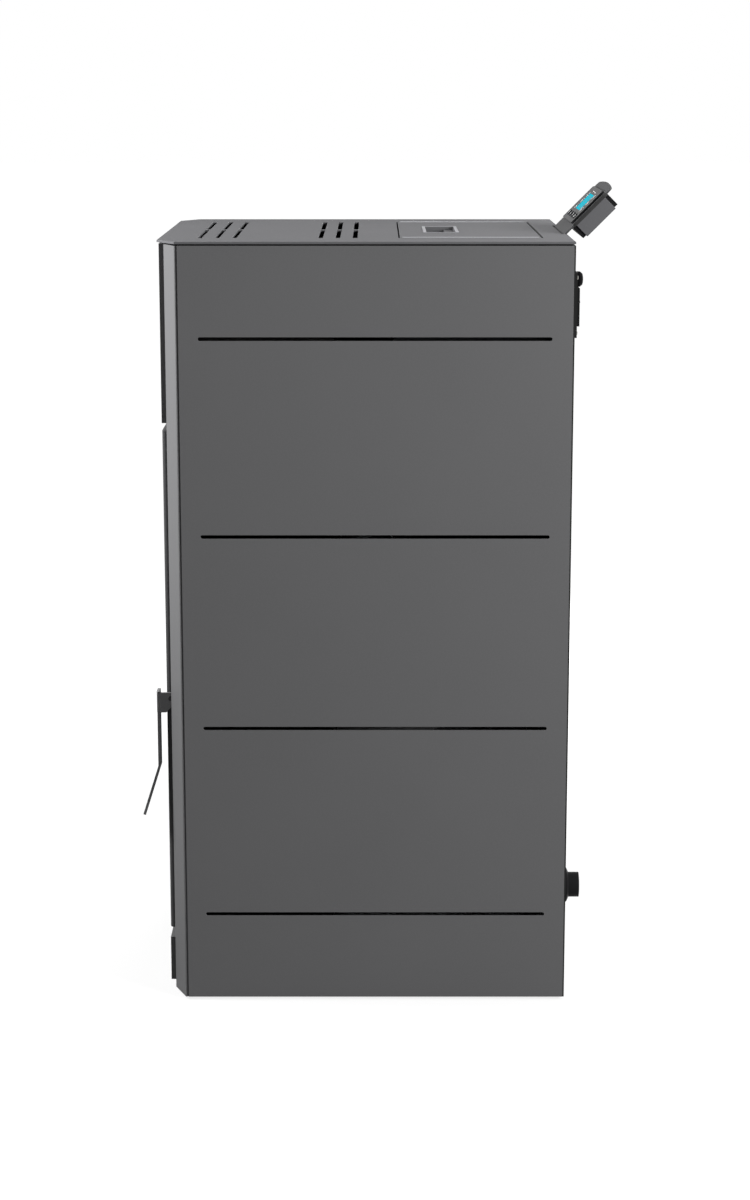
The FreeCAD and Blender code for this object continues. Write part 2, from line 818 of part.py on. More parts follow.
def base_pan():
    """Floor of the casing, with holes for the feet."""
    right = [
        ("inner_half - seam", "back_y - sheet - seam"),
        ("inner_half - seam", "bend_y + column_run"),
        ("column_x - seam", "column_y + column_return + seam"),
        ("column_x - seam", "frame_back"),
    ]
    left = [(f"-({x})", y) for x, y in reversed(right)]
    floor = prism("pan_floor", "XY_Plane", right + left, span("pan_z", "sheet"))
    lip = box("pan_lip", both("half - rear_return - post"), about("back_y - 2 * sheet - seam", "sheet"),
              span("pan_z", "post"))
    holes = [rod(f"pan_hole_{i}", "z", grown(("pan_z", "pan_top"), "overrun"), spot,
                 "foot_stud + fit")
             for i, spot in enumerate(foot_spots())]
    return node(cut("base_pan", union("pan_blank", floor, lip), *holes))


def foot_spots():
    """Plan positions of the four feet."""
    rows = ("bend_y + foot_inset", "casing_rear - foot_inset")
    return [(f"{side} * (half - foot_inset)", y) for side in (-1, 1) for y in rows]


def feet():
    """Four screw feet: a disc on the floor and a stud through the pan."""
    made = []
    for i, spot in enumerate(foot_spots()):
        disc = rod(f"foot_disc_{i}", "z", ("0", "foot_height"), spot, "foot_radius")
        nut = rod(f"foot_nut_{i}", "z", ("foot_height", "pan_z"), spot, "foot_stud * 2")
        stud = rod(f"foot_stud_{i}", "z", ("pan_z", "pan_top + post"), spot, "foot_stud")
        made.append(union(f"foot_{i}", disc, nut, stud))
    return node(group("feet", *made))


def ordered(*pair):
    """A span with its lower end first."""
    return tuple(sorted(pair, key=value))


def chassis_frame():
    """Four corner angles tied by flat rails under the top plate, notched for the air intake."""
    bars = []
    tall = ("pan_top", "top_under")
    high = ("top_under - rail_drop", "top_under")
    front, rear = "bend_y + post_set", "back_y - sheet"
    for side in (-1, 1):
        wide = ordered(f"{side} * inner_half", f"{side} * (inner_half - post)")
        thin = ordered(f"{side} * inner_half", f"{side} * (inner_half - sheet)")
        for corner, turn in ((front, 1), (rear, -1)):
            tag = f"{side + 1}_{turn + 1}"
            flat = ordered(corner, f"{corner} + {turn} * sheet")
            deep = ordered(corner, f"{corner} + {turn} * post")
            bars.append(box(f"angle_across_{tag}", wide, flat, tall))
            bars.append(box(f"angle_along_{tag}", thin, deep, tall))
        bars.append(box(f"rail_{side + 1}", thin, (front, rear), high))
    bars.append(box("rail_front", both("inner_half"), span(front, "sheet"), high))
    bars.append(box("rail_rear", both("inner_half"), (f"{rear} - sheet", rear),
                    ("top_under - 2 * rail_drop", "top_under - rail_drop")))
    notch = rod("post_notch", "y", (f"{rear} - post", "casing_rear"), ("spigot_x", "spigot_z"),
                "duct_radius + seam")
    return node(cut("chassis_frame", union("chassis_bars", *bars), notch))


def tube_spots():
    """Places of the exchanger tubes across the stove."""
    count = int(value("tube_count"))
    return [f"({i} - (tube_count - 1) / 2) * tube_pitch" for i in range(count)]


def front_frame():
    """Posts and rails welded round the drawer mouth, fire mouth and air window, with a latch notch."""
    y = ("frame_y", "frame_back")
    through = grown(y, "overrun")
    drawer_mouth = ("drawer_low + sheet", "drawer_high")
    rail = box("frame_rail", both("mouth_half"), y, ("mouth_high", "air_window_low"))
    ends = [rod(f"frame_tube_end_{i}", "y", through, (x, "tube_height"), "tube_radius + fit")
            for i, x in enumerate(tube_spots())]
    bars = [
        box("frame_sill", both("column_x"), y, ("pan_z", drawer_mouth[0])),
        box("frame_hearth_rail", both("column_x"), y, ("drawer_high", "mouth_low")),
        cut("frame_tube_rail", rail, *ends),
        box("frame_head_rail", both("mouth_half"), y, ("air_window_high", "panel_top")),
    ]
    notch = box("frame_latch_notch", ("door_half - latch_sheet", "column_x + overrun"), through,
                ("latch_height - 2 * bracket_height", "latch_height + bracket_height"))
    for side in (-1, 1):
        beside = ordered(f"{side} * (drawer_reach + rail_ledge / 2)", f"{side} * column_x")
        wide = ordered(f"{side} * mouth_half", f"{side} * column_x")
        bars.append(box(f"frame_leg_{side + 1}", beside, y, drawer_mouth))
        post = box(f"frame_post_{side + 1}", wide, y, ("mouth_low", "panel_top"))
        bars.append(cut("frame_latch_post", post, notch) if side == 1 else post)
    return node(group("front_frame", *bars))


def upper_front_panel():
    """Shallow folded pan above the door."""
    return node(shell_tray("upper_front_panel", both("door_half"), ("front_y", "frame_y"),
                           ("upper_low", "panel_top"), "sheet", "front_sheet"))


def firebox():
    """Welded box open at the front, with the ports that the feed, air and smoke need."""
    y = ("frame_back", "firebox_back")
    shell = box("firebox_outer", both("firebox_half"), y, ("firebox_floor", "firebox_top"))
    hollow = box("firebox_hollow", both("firebox_in"), ("frame_back - overrun", "liner_back"),
                 ("hearth", "firebox_top - plate"))
    through = grown(("liner_back", "firebox_back"), "overrun")
    ports = [
        box("firebox_chute_port", both("chute_half - sheet"), through, chute_port()),
        rod("firebox_air_port", "y", through, ("duct_x", "spigot_z"), "duct_radius - duct_wall"),
        rod("firebox_igniter_port", "y", through, ("igniter_x", "spigot_z"), "igniter_rod + fit"),
        box("firebox_smoke_port", smoke_port_x(), through, smoke_port_z()),
    ]
    for i, x in enumerate(tube_spots()):
        ports.append(rod(f"firebox_tube_port_{i}", "y", through, (x, "tube_height"), "tube_radius + fit"))
    for side in (-1, 1):
        wide = ordered(f"{side} * stand_half", f"{side} * (stand_half + ash_slot)")
        ports.append(box(f"firebox_ash_slot_{side + 1}", wide, ("stand_front", "liner_face - liner"),
                         grown(("firebox_floor", "hearth"), "overrun")))
    return node(cut("firebox", shell, hollow, *ports))


def chute_port():
    """Height span of the pellet opening in the firebox's back."""
    return span("chute_low + 2 * sheet", "chute_mouth")


def smoke_port_x():
    """Width span of the smoke opening."""
    return "scroll_right + scroll_wall", "smoke_right - scroll_wall"


def smoke_port_z():
    """Height span of the smoke opening."""
    return about("fan_z", "smoke_height - 2 * scroll_wall")


def grooved_board(name, x, y, z, face_axis, face, inward, pitch):
    """A vermiculite board with upright grooves in its fire face."""
    board = box(f"{name}_board", x, y, z)
    along = x if face_axis == "y" else y
    centre = f"(({along[0]}) + ({along[1]})) / 2"
    depth = ordered(face, f"{face} + {inward} * groove_depth")
    tools = []
    for i in range(int(value("groove_count"))):
        place = about(f"{centre} + ({i} - (groove_count - 1) / 2) * {pitch}", "groove_width")
        spread = (place, depth) if face_axis == "y" else (depth, place)
        tools.append(box(f"{name}_groove_{i}", *spread, grown(z, "overrun")))
    return cut(name, board, *tools)


def firebox_liners():
    """Three grooved boards round the fire, with the back board's ports."""
    z = ("hearth", "liner_top")
    deep = ("frame_back + liner_front", "liner_back")
    sides = []
    for name, side in (("left", -1), ("right", 1)):
        x = ordered(f"{side} * liner_in", f"{side} * firebox_in")
        face = f"{side} * liner_in"
        sides.append(grooved_board(f"liner_{name}", x, deep, z, "x", face, side, "groove_pitch_side"))
    thick = ("liner_face", "liner_back")
    plain = grooved_board("liner_rear", both("liner_in"), thick, z, "y", "liner_face", 1, "groove_pitch")
    through = grown(thick, "overrun")
    ports = [
        box("liner_chute_port", both("chute_half - sheet"), through, chute_port()),
        rod("liner_air_port", "y", through, ("duct_x", "spigot_z"), "duct_radius - duct_wall"),
        rod("liner_igniter_port", "y", through, ("igniter_x", "spigot_z"), "igniter_rod + fit"),
        box("liner_smoke_port", smoke_port_x(), through, smoke_port_z()),
    ]
    return node(group("firebox_liners", *sides, cut("liner_back_board", plain, *ports)))


def flame_baffle():
    """Bent plate on top of the liners that turns the smoke forward."""
    corners = [
        ("frame_back + 2 * liner_front", "liner_top"),
        ("liner_back", "liner_top"),
        ("liner_back", "liner_top + baffle_sheet"),
        ("frame_back + 2 * liner_front + baffle_sheet", "liner_top + baffle_sheet"),
        ("frame_back + 2 * liner_front", "liner_top + baffle_lip"),
        ("frame_back + 2 * liner_front - baffle_sheet / 2", "liner_top + baffle_lip"),
    ]
    return node(prism("flame_baffle", "YZ_Plane", corners, both("firebox_in - fit")))


def exchanger_tubes():
    """A row of air tubes through the top of the firebox."""
    made = []
    along = ("frame_y", "firebox_back + tube_tail")
    for i, x in enumerate(tube_spots()):
        outer = rod(f"tube_outer_{i}", "y", along, (x, "tube_height"), "tube_radius")
        bore = rod(f"tube_bore_{i}", "y", grown(along, "overrun"), (x, "tube_height"),
                   "tube_radius - tube_wall")
        made.append(cut(f"tube_{i}", outer, bore))
    return node(group("exchanger_tubes", *made))


def burn_pot():
    """Cast cup with a flange and a grid of air holes in its floor."""
    pot = body("burn_pot")
    rim = sketch(pot, "XY_Plane", "stand_top")
    rectangle(rim, both("pot_half + pot_lip"), about("pot_y", "pot_depth + 2 * pot_lip"))
    pad(pot, rim, "pot_wall")
    cup = sketch(pot, "XY_Plane", "stand_top - pot_drop")
    rectangle(cup, both("pot_half"), about("pot_y", "pot_depth"))
    raised = pad(pot, cup, "pot_drop + pot_rise")
    inside = sketch(pot, "XY_Plane", "stand_top - pot_drop + pot_wall")
    rectangle(inside, both("pot_half - pot_wall"), about("pot_y", "pot_depth - 2 * pot_wall"))
    part_pocket(pot, inside, "pot_drop + pot_rise", raised)
    drill = sketch(pot, "XY_Plane", "stand_top - pot_drop")
    start_x = "-(pot_columns - 1) / 2 * pot_hole_pitch"
    for row in range(int(value("pot_rows"))):
        circle(drill, start_x, f"pot_y + ({row} - (pot_rows - 1) / 2) * pot_hole_pitch", "pot_hole")
    row_of(pot, pocket(pot, drill), drill, "H_Axis", "pot_hole_pitch", "pot_columns")
    return node(pot)


def part_pocket(part, drawing, depth, before):
    """The sketch cut into the body along its normal by a depth, with a check that it cut."""
    feature = part.newObject("PartDesign::Pocket", f"{part.Name}_hollow")
    feature.Profile = drawing
    feature.Reversed = True
    bind(feature, "Length", depth)
    DOC.recompute()
    if feature.Shape.Volume >= before.Shape.Volume:
        raise ValueError(f"{part.Label}: the hollow cut nothing")
    return feature


def burn_pot_support():
    """Air box that carries the burn pot and feeds it from behind."""
    deep = ("stand_front", "liner_face")
    shell = box("stand_outer", both("stand_half"), deep, ("hearth", "stand_top"))
    hollow = box("stand_hollow", both("stand_half - stand_wall"), grown(deep, "-stand_wall"),
                 ("hearth + stand_wall", "stand_top - stand_wall"))
    seat = box("stand_seat", both("pot_half + fit"), about("pot_y", "pot_depth + 2 * fit"),
               grown(("stand_top - stand_wall", "stand_top"), "overrun"))
    rear = grown(("liner_face - stand_wall", "liner_face"), "overrun")
    air = rod("stand_air", "y", rear, ("duct_x", "spigot_z"), "duct_radius - duct_wall")
    rod_hole = rod("stand_rod", "y", rear, ("igniter_x", "spigot_z"), "igniter_rod + fit")
    return node(cut("burn_pot_support", shell, hollow, seat, air, rod_hole))


def igniter():
    """Ceramic rod through the firebox's back, with its holder behind."""
    centre = ("igniter_x", "spigot_z")
    stem = rod("igniter_stem", "y", ("pot_y + pot_depth / 2 + igniter_gap", "firebox_back"), centre,
               "igniter_rod")
    holder = rod("igniter_body", "y", span("firebox_back", "igniter_tail"), centre, "igniter_holder")
    return node(union("igniter", stem, holder))


def air_inlet_spigot():
    """Moulded air intake: a tapered flange on the rear panel and a tube through it."""
    part = body("air_inlet_spigot")
    profile = sketch(part, "XZ_Plane")
    corners = [
        ("duct_radius - duct_wall", "-sheet - spigot_sleeve"),
        ("duct_radius", "-sheet - spigot_sleeve"),
        ("duct_radius", "0"),
        ("spigot_flange", "0"),
        ("spigot_flange", "spigot_flange_thick / 2"),
        ("duct_radius + spigot_step", "spigot_flange_thick"),
        ("duct_radius", "spigot_flange_thick"),
        ("duct_radius", "spigot_out"),
        ("duct_radius - duct_wall", "spigot_out"),
    ]
    polygon(profile, corners)
    turned = part.newObject("PartDesign::Revolution", "spigot_turned")
    turned.Profile = profile
    turned.ReferenceAxis = (profile, ["V_Axis"])
    turned.Angle = 360
    part.Placement = Placement(Vector(), AXIS_TURN["y"])
    for axis, place in zip("xyz", ("spigot_x", "casing_rear", "spigot_z")):
        bind(part, f"Placement.Base.{axis}", place)
    return node(part)


def air_duct():
    """Bent intake pipe from the spigot round to the back of the firebox."""
    part = body("air_duct")
    start_y = "back_y - spigot_sleeve - fit"
    ring = sketch(part, "XZ_Plane", f"-({start_y})")
    circle(ring, "spigot_x", "spigot_z", "duct_radius")
    circle(ring, "spigot_x", "spigot_z", "duct_radius - duct_wall")
    path = sketch(part, "XY_Plane", "spigot_z")
    stops = [
        ("spigot_x", start_y),
        ("spigot_x", "duct_y + duct_bend"),
        ("spigot_x - duct_bend", "duct_y"),
        ("duct_x + duct_bend / 2", "duct_y"),
        ("duct_x", "duct_y - duct_bend / 2"),
        ("duct_x", "firebox_back"),
    ]
    spots = [Vector(value(x), value(y), 0) for x, y in stops]
    for first in (0, 2, 4):
        path.addGeometry(Part.LineSegment(spots[first], spots[first + 1]))
    for first, last, centre in (
        (1, 2, ("spigot_x - duct_bend", "duct_y + duct_bend")),
        (3, 4, ("duct_x + duct_bend / 2", "duct_y - duct_bend / 2")),
    ):
        middle = Vector(value(centre[0]), value(centre[1]), 0)
        reach = spots[first] - middle
        bisector = (reach + (spots[last] - middle)).normalize() * reach.Length
        path.addGeometry(Part.Arc(spots[first], middle + bisector, spots[last]))
    path.addConstraint(Sketcher.Constraint("Coincident", 3, 2, 0, 2))
    path.addConstraint(Sketcher.Constraint("Coincident", 3, 1, 1, 1))
    path.addConstraint(Sketcher.Constraint("Coincident", 4, 1, 1, 2))
    path.addConstraint(Sketcher.Constraint("Coincident", 4, 2, 2, 1))
    for line, ends in ((0, (0, 1)), (1, (2, 3)), (2, (4, 5))):
        for spot, stop in zip((1, 2), ends):
            pin_point(path, line, spot, stops[stop])
    for arc, radius in ((3, "duct_bend"), (4, "duct_bend / 2")):
        index = path.addConstraint(Sketcher.Constraint("Radius", arc, value(radius)))
        bind(path, f"Constraints[{index}]", radius)
    pipe = part.newObject("PartDesign::AdditivePipe", "duct_pipe")
    pipe.Profile = ring
    pipe.Spine = (path, [""])
    DOC.recompute()
    return node(part)


def funnel(name, foot, head, z):
    """A straight taper between two rectangles, each given by its X and Y spans, at two heights."""
    taper = DOC.addObject("Part::Wedge", name)
    taper.Placement = Placement(Vector(), Rotation(Vector(1, 0, 0), 90))
    for mark, ((x_low, x_high), (y_low, y_high)) in (("", foot), ("2", head)):
        bind(taper, f"X{mark}min", x_low)
        bind(taper, f"X{mark}max", x_high)
        bind(taper, f"Z{mark}min", f"-({y_high})")
        bind(taper, f"Z{mark}max", f"-({y_low})")
    bind(taper, "Ymin", z[0])
    bind(taper, "Ymax", z[1])
    return taper


def hopper():
    """Sheet bin that tapers to the throat over the auger."""
    waist = "top_under - hopper_bin"
    bin_plan = (both("bin_half"), ("bin_front", "bin_rear"))
    throat_plan = (both("throat_half"), ("throat_front", "throat_back"))

    def solid(name, bin_wall, throat_wall, past):
        mouth = [grown(pair, bin_wall) for pair in bin_plan]
        neck = [grown(pair, throat_wall) for pair in throat_plan]
        upper = box(f"{name}_bin", *mouth, (waist, f"top_under + {past}"))
        lower = funnel(f"{name}_taper", neck, mouth, ("throat_height", waist))
        return union(name, upper, lower)
    outer = solid("hopper_outer", "0", "sheet", "0")
    inner = solid("hopper_inner", "-sheet", "0", "overrun")
    return node(cut("hopper", outer, inner))


def lean(item, angle, y, z):
    """Tips a piece about X by an angle and sets its origin down at a place."""
    item.Placement = Placement(Vector(), Rotation(Vector(1, 0, 0), value(angle)))
    bind(item, "Placement.Rotation.Angle", angle)
    bind(item, "Placement.Base.y", y)
    bind(item, "Placement.Base.z", z)
    return item


def feed_frame(item):
    """Places a piece drawn along the auger: its Z runs up the tube and its Y points up and back."""
    return lean(item, "90 - auger_tilt", "auger_low_y", "auger_low_z")


def in_feed(name, *items):
    """Blocks and bars drawn along the auger, set in place as one tool."""
    return feed_frame(group(name, *items))


def under_axis(name):
    """The half space under the auger's axis."""
    block = box(f"{name}_half", both("bin_half"), ("-bin_half", "0"), both("2 * auger_length"))
    return in_feed(name, block)


def auger_tube():
    """Inclined tube with a plate at its lower end and the neck that meets the hopper's throat."""
    axis = ("0", "0")
    wall = rod("auger_wall_rod", "z", ("0", "auger_length"), axis, "auger_outer")
    outer = in_feed("auger_round", wall)
    neck = box("auger_neck", both("throat_half + sheet"), ("throat_front - sheet", "throat_back + sheet"),
               ("auger_low_z", "throat_height"))
    neck_hole = box("auger_neck_hole", both("throat_half"), ("throat_front", "throat_back"),
                    ("auger_low_z", "throat_height + overrun"))
    shell = union("auger_shell", outer, cut("auger_neck_trimmed", neck, under_axis("neck_trim")))
    bore = rod("auger_hole", "z", ("2 * auger_wall", "auger_length - auger_wall"), axis, "auger_bore")
    bush = rod("auger_bush", "z", grown(("0", "2 * auger_wall"), "overrun"), axis,
               "auger_shaft + running")
    drop = box("auger_drop", both("chute_half - sheet"), ("-2 * auger_bore", "0"),
               ("auger_length - 2 * auger_bore", "auger_length - 4 * auger_wall"))
    opened = cut("auger_opened", shell, in_feed("auger_bore_tool", bore), in_feed("auger_bush_tool", bush),
                 in_feed("auger_drop_tool", drop))
    return node(cut("auger_tube", opened, cut("auger_clear", neck_hole, under_axis("hole_trim"))))


def auger_screw():
    """Shaft with one continuous helical flight."""
    part = body("auger_screw")
    core = sketch(part, "XY_Plane", "-gear_grip")
    circle(core, "0", "0", "auger_shaft")
    pad(part, core, "gear_grip + auger_length - auger_nose")
    blade = sketch(part, "XZ_Plane")
    rectangle(blade, ("auger_shaft - overrun", "auger_flight"), span("3 * auger_wall", "auger_blade"))
    flight = part.newObject("PartDesign::AdditiveHelix", "auger_flight_helix")
    flight.Profile = blade
    flight.ReferenceAxis = (blade, ["V_Axis"])
    flight.Mode = 0
    bind(flight, "Pitch", "auger_pitch")
    bind(flight, "Height", "auger_length - 2 * auger_nose - 2 * auger_wall")
    DOC.recompute()
    return node(feed_frame(part))


def auger_gearmotor():
    """Gearbox on the tube's end plate with its motor to one side."""
    case = box("gear_case", both("gear_width / 2"), both("gear_height / 2"), ("-gear_length", "0"))
    motor = rod("gear_motor_can", "z", ("-gear_length - gear_motor_length", "-gear_length"),
                ("gear_width / 2 - gear_motor", "0"), "gear_motor")
    bore = rod("gear_bore", "z", grown(("-gear_grip", "0"), "overrun"), ("0", "0"), "auger_shaft + running")
    return node(feed_frame(cut("auger_gearmotor", union("gear_blank", case, motor), bore)))


def pellet_chute():
    """Hood under the auger's outlet with a steep floor down to the firebox."""
    def outline(inset):
        return [
            (f"chute_rear - {inset}", f"chute_top - {inset}"),
            (f"chute_rear - {inset}", f"chute_low + chute_fall + {inset}"),
            ("firebox_back", f"chute_low + 2 * {inset}"),
            ("firebox_back", f"chute_top - {inset}"),
        ]
    outer = prism("chute_outer", "YZ_Plane", outline("0"), both("chute_half"))
    inner = prism("chute_inner", "YZ_Plane", outline("sheet"), both("chute_half - sheet"))
    above = box("chute_above", both("2 * chute_half"), ("0", "auger_length"), ("0", "2 * auger_length"))
    saddle = rod("chute_saddle", "z", ("0", "auger_length"), ("0", "0"), "auger_outer")
    trim = feed_frame(union("chute_trim", above, saddle))
    return node(cut("pellet_chute", outer, inner, trim))


def quarter(name, centre, radius, turn, x):
    """A quarter of a round slice across X; the turn is measured from the lower rear quarter."""
    wedge = DOC.addObject("Part::Cylinder", name)
    wedge.Placement = Placement(Vector(), Rotation(Vector(1, 0, 0), -turn) * AXIS_TURN["x"])
    wedge.Angle = 90
    bind(wedge, "Radius", radius)
    bind(wedge, "Height", f"({x[1]}) - ({x[0]})")
    for axis, place in zip("xyz", (x[0], *centre)):
        bind(wedge, f"Placement.Base.{axis}", place)
    return wedge


def volute(name, inset, x):
    """A scroll of three quarter arcs whose radius grows by one step each, and its straight outlet."""
    centres = [("fan_y", "fan_z"), ("fan_y", "fan_z + scroll_step"),
               ("fan_y + scroll_step", "fan_z + scroll_step")]
    arcs = [
        quarter(f"{name}_arc_{i}", centre, f"scroll_start + {i} * scroll_step - {inset}", 90 * i, x)
        for i, centre in enumerate(centres)
    ]
    heart = rod(f"{name}_heart", "x", x, centres[0], f"scroll_start - {inset}")
    outlet = box(f"{name}_outlet", x, ("fan_y", f"flue_y + {inset}"),
                 (f"fan_z + {inset}", f"fan_z + scroll_start + 3 * scroll_step - {inset}"))
    return union(name, *arcs, heart, outlet)


def exhaust_scroll():
    """Smoke fan casing: hollow scroll with the suction eye and the shaft hole."""
    outer = volute("scroll_outer", "0", ("scroll_left", "scroll_right"))
    inside = grown(("scroll_left", "scroll_right"), "-scroll_wall")
    inner = volute("scroll_inner", "scroll_wall", inside)
    centre = ("fan_y", "fan_z")
    eye = rod("scroll_eye", "x", about("scroll_right", "4 * scroll_wall"), centre, "fan_eye")
    bush = rod("scroll_bush", "x", about("scroll_left", "4 * scroll_wall"), centre, "fan_shaft + running")
    return node(cut("exhaust_scroll", outer, inner, eye, bush))


def exhaust_motor():
    """Can motor on the scroll's outer face, with a stepped end bell."""
    centre = ("fan_y", "fan_z")
    can = rod("motor_can", "x", ("scroll_left - fan_can_length", "scroll_left"), centre, "fan_motor")
    bell = rod("motor_bell", "x", ("scroll_left - fan_motor_length", "scroll_left"), centre, "fan_bell")
    bore = rod("motor_bore", "x", ("scroll_left - fan_bore", "scroll_left + overrun"), centre,
               "fan_shaft + running")
    return node(cut("exhaust_motor", union("motor_blank", can, bell), bore))


def on_x_axis(part, x, y, z):
    """Turns a body drawn about its own Z so that it lies along X, at a place."""
    part.Placement = Placement(Vector(), AXIS_TURN["x"])
    for axis, place in zip("xyz", (x, y, z)):
        bind(part, f"Placement.Base.{axis}", place)
    return part


def exhaust_impeller():
    """Disc with a hub, a shaft and straight radial blades."""
    part = body("exhaust_impeller")
    disc = sketch(part, "XY_Plane")
    circle(disc, "0", "0", "impeller_radius")
    pad(part, disc, "impeller_disc")
    hub = sketch(part, "XY_Plane")
    circle(hub, "0", "0", "impeller_hub")
    pad(part, hub, "impeller_hub_length")
    shaft = sketch(part, "XY_Plane", "-fan_shaft_grip")
    circle(shaft, "0", "0", "fan_shaft")
    pad(part, shaft, "fan_shaft_grip + impeller_hub_length")
    blade = sketch(part, "XY_Plane")
    reach = ("impeller_hub + impeller_root", "impeller_radius - impeller_rim")
    rectangle(blade, reach, both("impeller_disc / 2"))
    ring_of(part, pad(part, blade, "impeller_width"), blade, "impeller_blades")
    return node(on_x_axis(part, "scroll_left + scroll_wall + impeller_gap", "fan_y", "fan_z"))


def smoke_duct():
    """Box duct from the firebox's lower back to the fan's eye."""
    x = ("scroll_right", "smoke_right")
    y = ("firebox_back", "fan_y + smoke_reach")
    z = about("fan_z", "smoke_height")
    outer = box("smoke_outer", x, y, z)
    inside = ("firebox_back - overrun", "fan_y + smoke_reach - scroll_wall")
    hollow = box("smoke_hollow", grown(x, "-scroll_wall"), inside, grown(z, "-scroll_wall"))
    eye = rod("smoke_eye", "x", about("scroll_right", "4 * scroll_wall"), ("fan_y", "fan_z"), "fan_eye")
    return node(cut("smoke_duct", outer, hollow, eye))


def flue_collar():
    """Flanged socket for the flue pipe, level with the rear panel."""
    reach = "flue_bore + flue_wall"
    centre = ("fan_x", "flue_z")
    side = f"2 * ({reach} + flue_rim)"
    flange = box("flue_plate", about("fan_x", side), span("flue_y", "flue_flange"), about("flue_z", side))
    tube = rod("flue_tube", "y", ("flue_y", "casing_rear"), centre, reach)
    bore = rod("flue_hole", "y", grown(("flue_y", "casing_rear"), "overrun"), centre, "flue_bore")
    return node(cut("flue_collar", union("flue_blank", flange, tube), bore))


def room_fan_housing():
    """Casing of the tangential blower on the base pan: open above, with an inlet behind."""
    x = ("blower_left", "blower_right")
    y = about("blower_y", "2 * blower_room")
    z = ("pan_top", "blower_z + blower_room")
    outer = box("blower_outer", x, y, z)
    hollow = box("blower_hollow", grown(x, "-sheet"), grown(y, "-sheet"), grown(z, "-sheet"))
    front = ("blower_y - blower_room + sheet", "blower_y - sheet")
    outlet = box("blower_outlet", grown(x, "-sheet"), front,
                 about("blower_z + blower_room", "4 * sheet"))
    inlet = box("blower_inlet", grown(x, "-4 * sheet"), about("blower_y + blower_room", "4 * sheet"),
                about("blower_z", "blower_inlet"))
    bush = rod("blower_bush", "x", grown(x, "overrun"), ("blower_y", "blower_z"), "blower_shaft + running")
    return node(cut("room_fan_housing", outer, hollow, outlet, inlet, bush))


def room_fan_motor():
    """Motor at the blower's right end."""
    centre = ("blower_y", "blower_z")
    can = rod("blower_can", "x", span("blower_right", "blower_motor_length"), centre, "blower_motor")
    bore = rod("blower_bore", "x", ("blower_right - overrun", "blower_right + blower_bore"), centre,
               "blower_shaft + running")
    return node(cut("room_fan_motor", can, bore))


def room_fan_rotor():
    """Squirrel cage: end discs joined by leaning blades, on a through shaft."""
    part = body("room_fan_rotor")
    cage = "blower_length - 2 * (sheet + blower_end)"
    for offset in ("0", f"{cage} - blower_disc"):
        disc = sketch(part, "XY_Plane", offset)
        circle(disc, "0", "0", "blower_radius")
        pad(part, disc, "blower_disc")
        if offset == "0":
            shaft = sketch(part, "XY_Plane", "-sheet - blower_end")
            circle(shaft, "0", "0", "blower_shaft")
            pad(part, shaft, "blower_length + blower_grip")
    blade = sketch(part, "XY_Plane")
    polygon(blade, [
        ("blower_root", "0"),
        ("blower_tip", "blower_lean"),
        ("blower_tip - blower_blade_skew", "blower_lean + blower_blade_thick"),
        ("blower_root - blower_blade_skew", "blower_blade_thick"),
    ])
    ring_of(part, pad(part, blade, cage), blade, "blower_blades")
    return node(on_x_axis(part, "blower_left + sheet + blower_end", "blower_y", "blower_z"))


def drawer_rails():
    """Two walls that carry the firebox, each with a ledge for the ash pan."""
    made = []
    for name, side in (("left", -1), ("right", 1)):
        wall = ordered(f"{side} * (drawer_reach + fit)", f"{side} * (drawer_reach + fit + sheet)")
        ledge = ordered(f"{side} * (drawer_reach - rail_ledge)", f"{side} * (drawer_reach + fit)")
        deep = ("frame_back", "firebox_back")
        made.append(union(
            f"rail_{name}_wall",
            box(f"rail_{name}_web", wall, deep, ("pan_top", "firebox_floor")),
            box(f"rail_{name}_ledge", ledge, deep, span("pan_top", "2 * sheet")),
        ))
    return node(group("drawer_rails", *made))


def ash_drawer():
    """Lower front panel and the ash pan fixed behind it."""
    node(shell_tray("drawer_front", both("door_half"), ("front_y", "frame_y - fit"),
                    ("drawer_low", "drawer_high"), "sheet", "front_sheet"))
    deep = span("front_y + front_sheet", "drawer_run")
    high = span("pan_top + 2 * sheet + fit", "drawer_side")
    outer = box("ash_outer", both("drawer_reach"), deep, high)
    hollow = box("ash_hollow", both("drawer_reach - drawer_wall"), grown(deep, "-drawer_wall"),
                 (f"{high[0]} + drawer_wall", f"{high[1]} + overrun"))
    node(cut("ash_pan", outer, hollow))


def door_frame():
    """Flat door with full round edges, a window, the glass rebate, hinge bores and the latch stud."""
    door = body("door_leaf")
    plan = sketch(door, "XY_Plane", "door_low")
    slot(plan, both("door_half"), "hinge_y", "door_thick")
    pad(door, plan, "door_height")
    window = sketch(door, "XZ_Plane", "-door_back")
    rectangle(window, both("window_reach"), ("window_low", "window_high"))
    opened = pocket(door, window)

    def corner(edge):
        on_side = all(abs(abs(v.X) - value("window_reach")) < NEAR for v in edge.Vertexes)
        return on_side and edge.Length < value("door_thick + overrun")
    rounded_window = rounded(door, opened, "window_corner", corner)
    rebate = sketch(door, "XZ_Plane", "-door_back")
    rectangle(rebate, both("window_reach + glass_lap"), grown(("window_low", "window_high"), "glass_lap"))
    part_pocket(door, rebate, "glass_seat", rounded_window)
    stud = rod("latch_stud_pin", "x", ("door_half - door_thick / 2", "latch_x + latch_sheet + fit"),
               ("hinge_y", "latch_height"), "latch_stud")
    deep = "hinge_pin_grip + hinge_pin_room"
    ends = (("door_low - overrun", f"door_low + {deep}"), (f"door_high - ({deep})", "door_high + overrun"))
    bores = [
        rod(f"hinge_bore_{i}", "z", along, ("hinge_x", "hinge_y"), "hinge_pin + running")
        for i, along in enumerate(ends)
    ]
    return node(cut("door_frame", union("door_studded", door, stud), *bores))


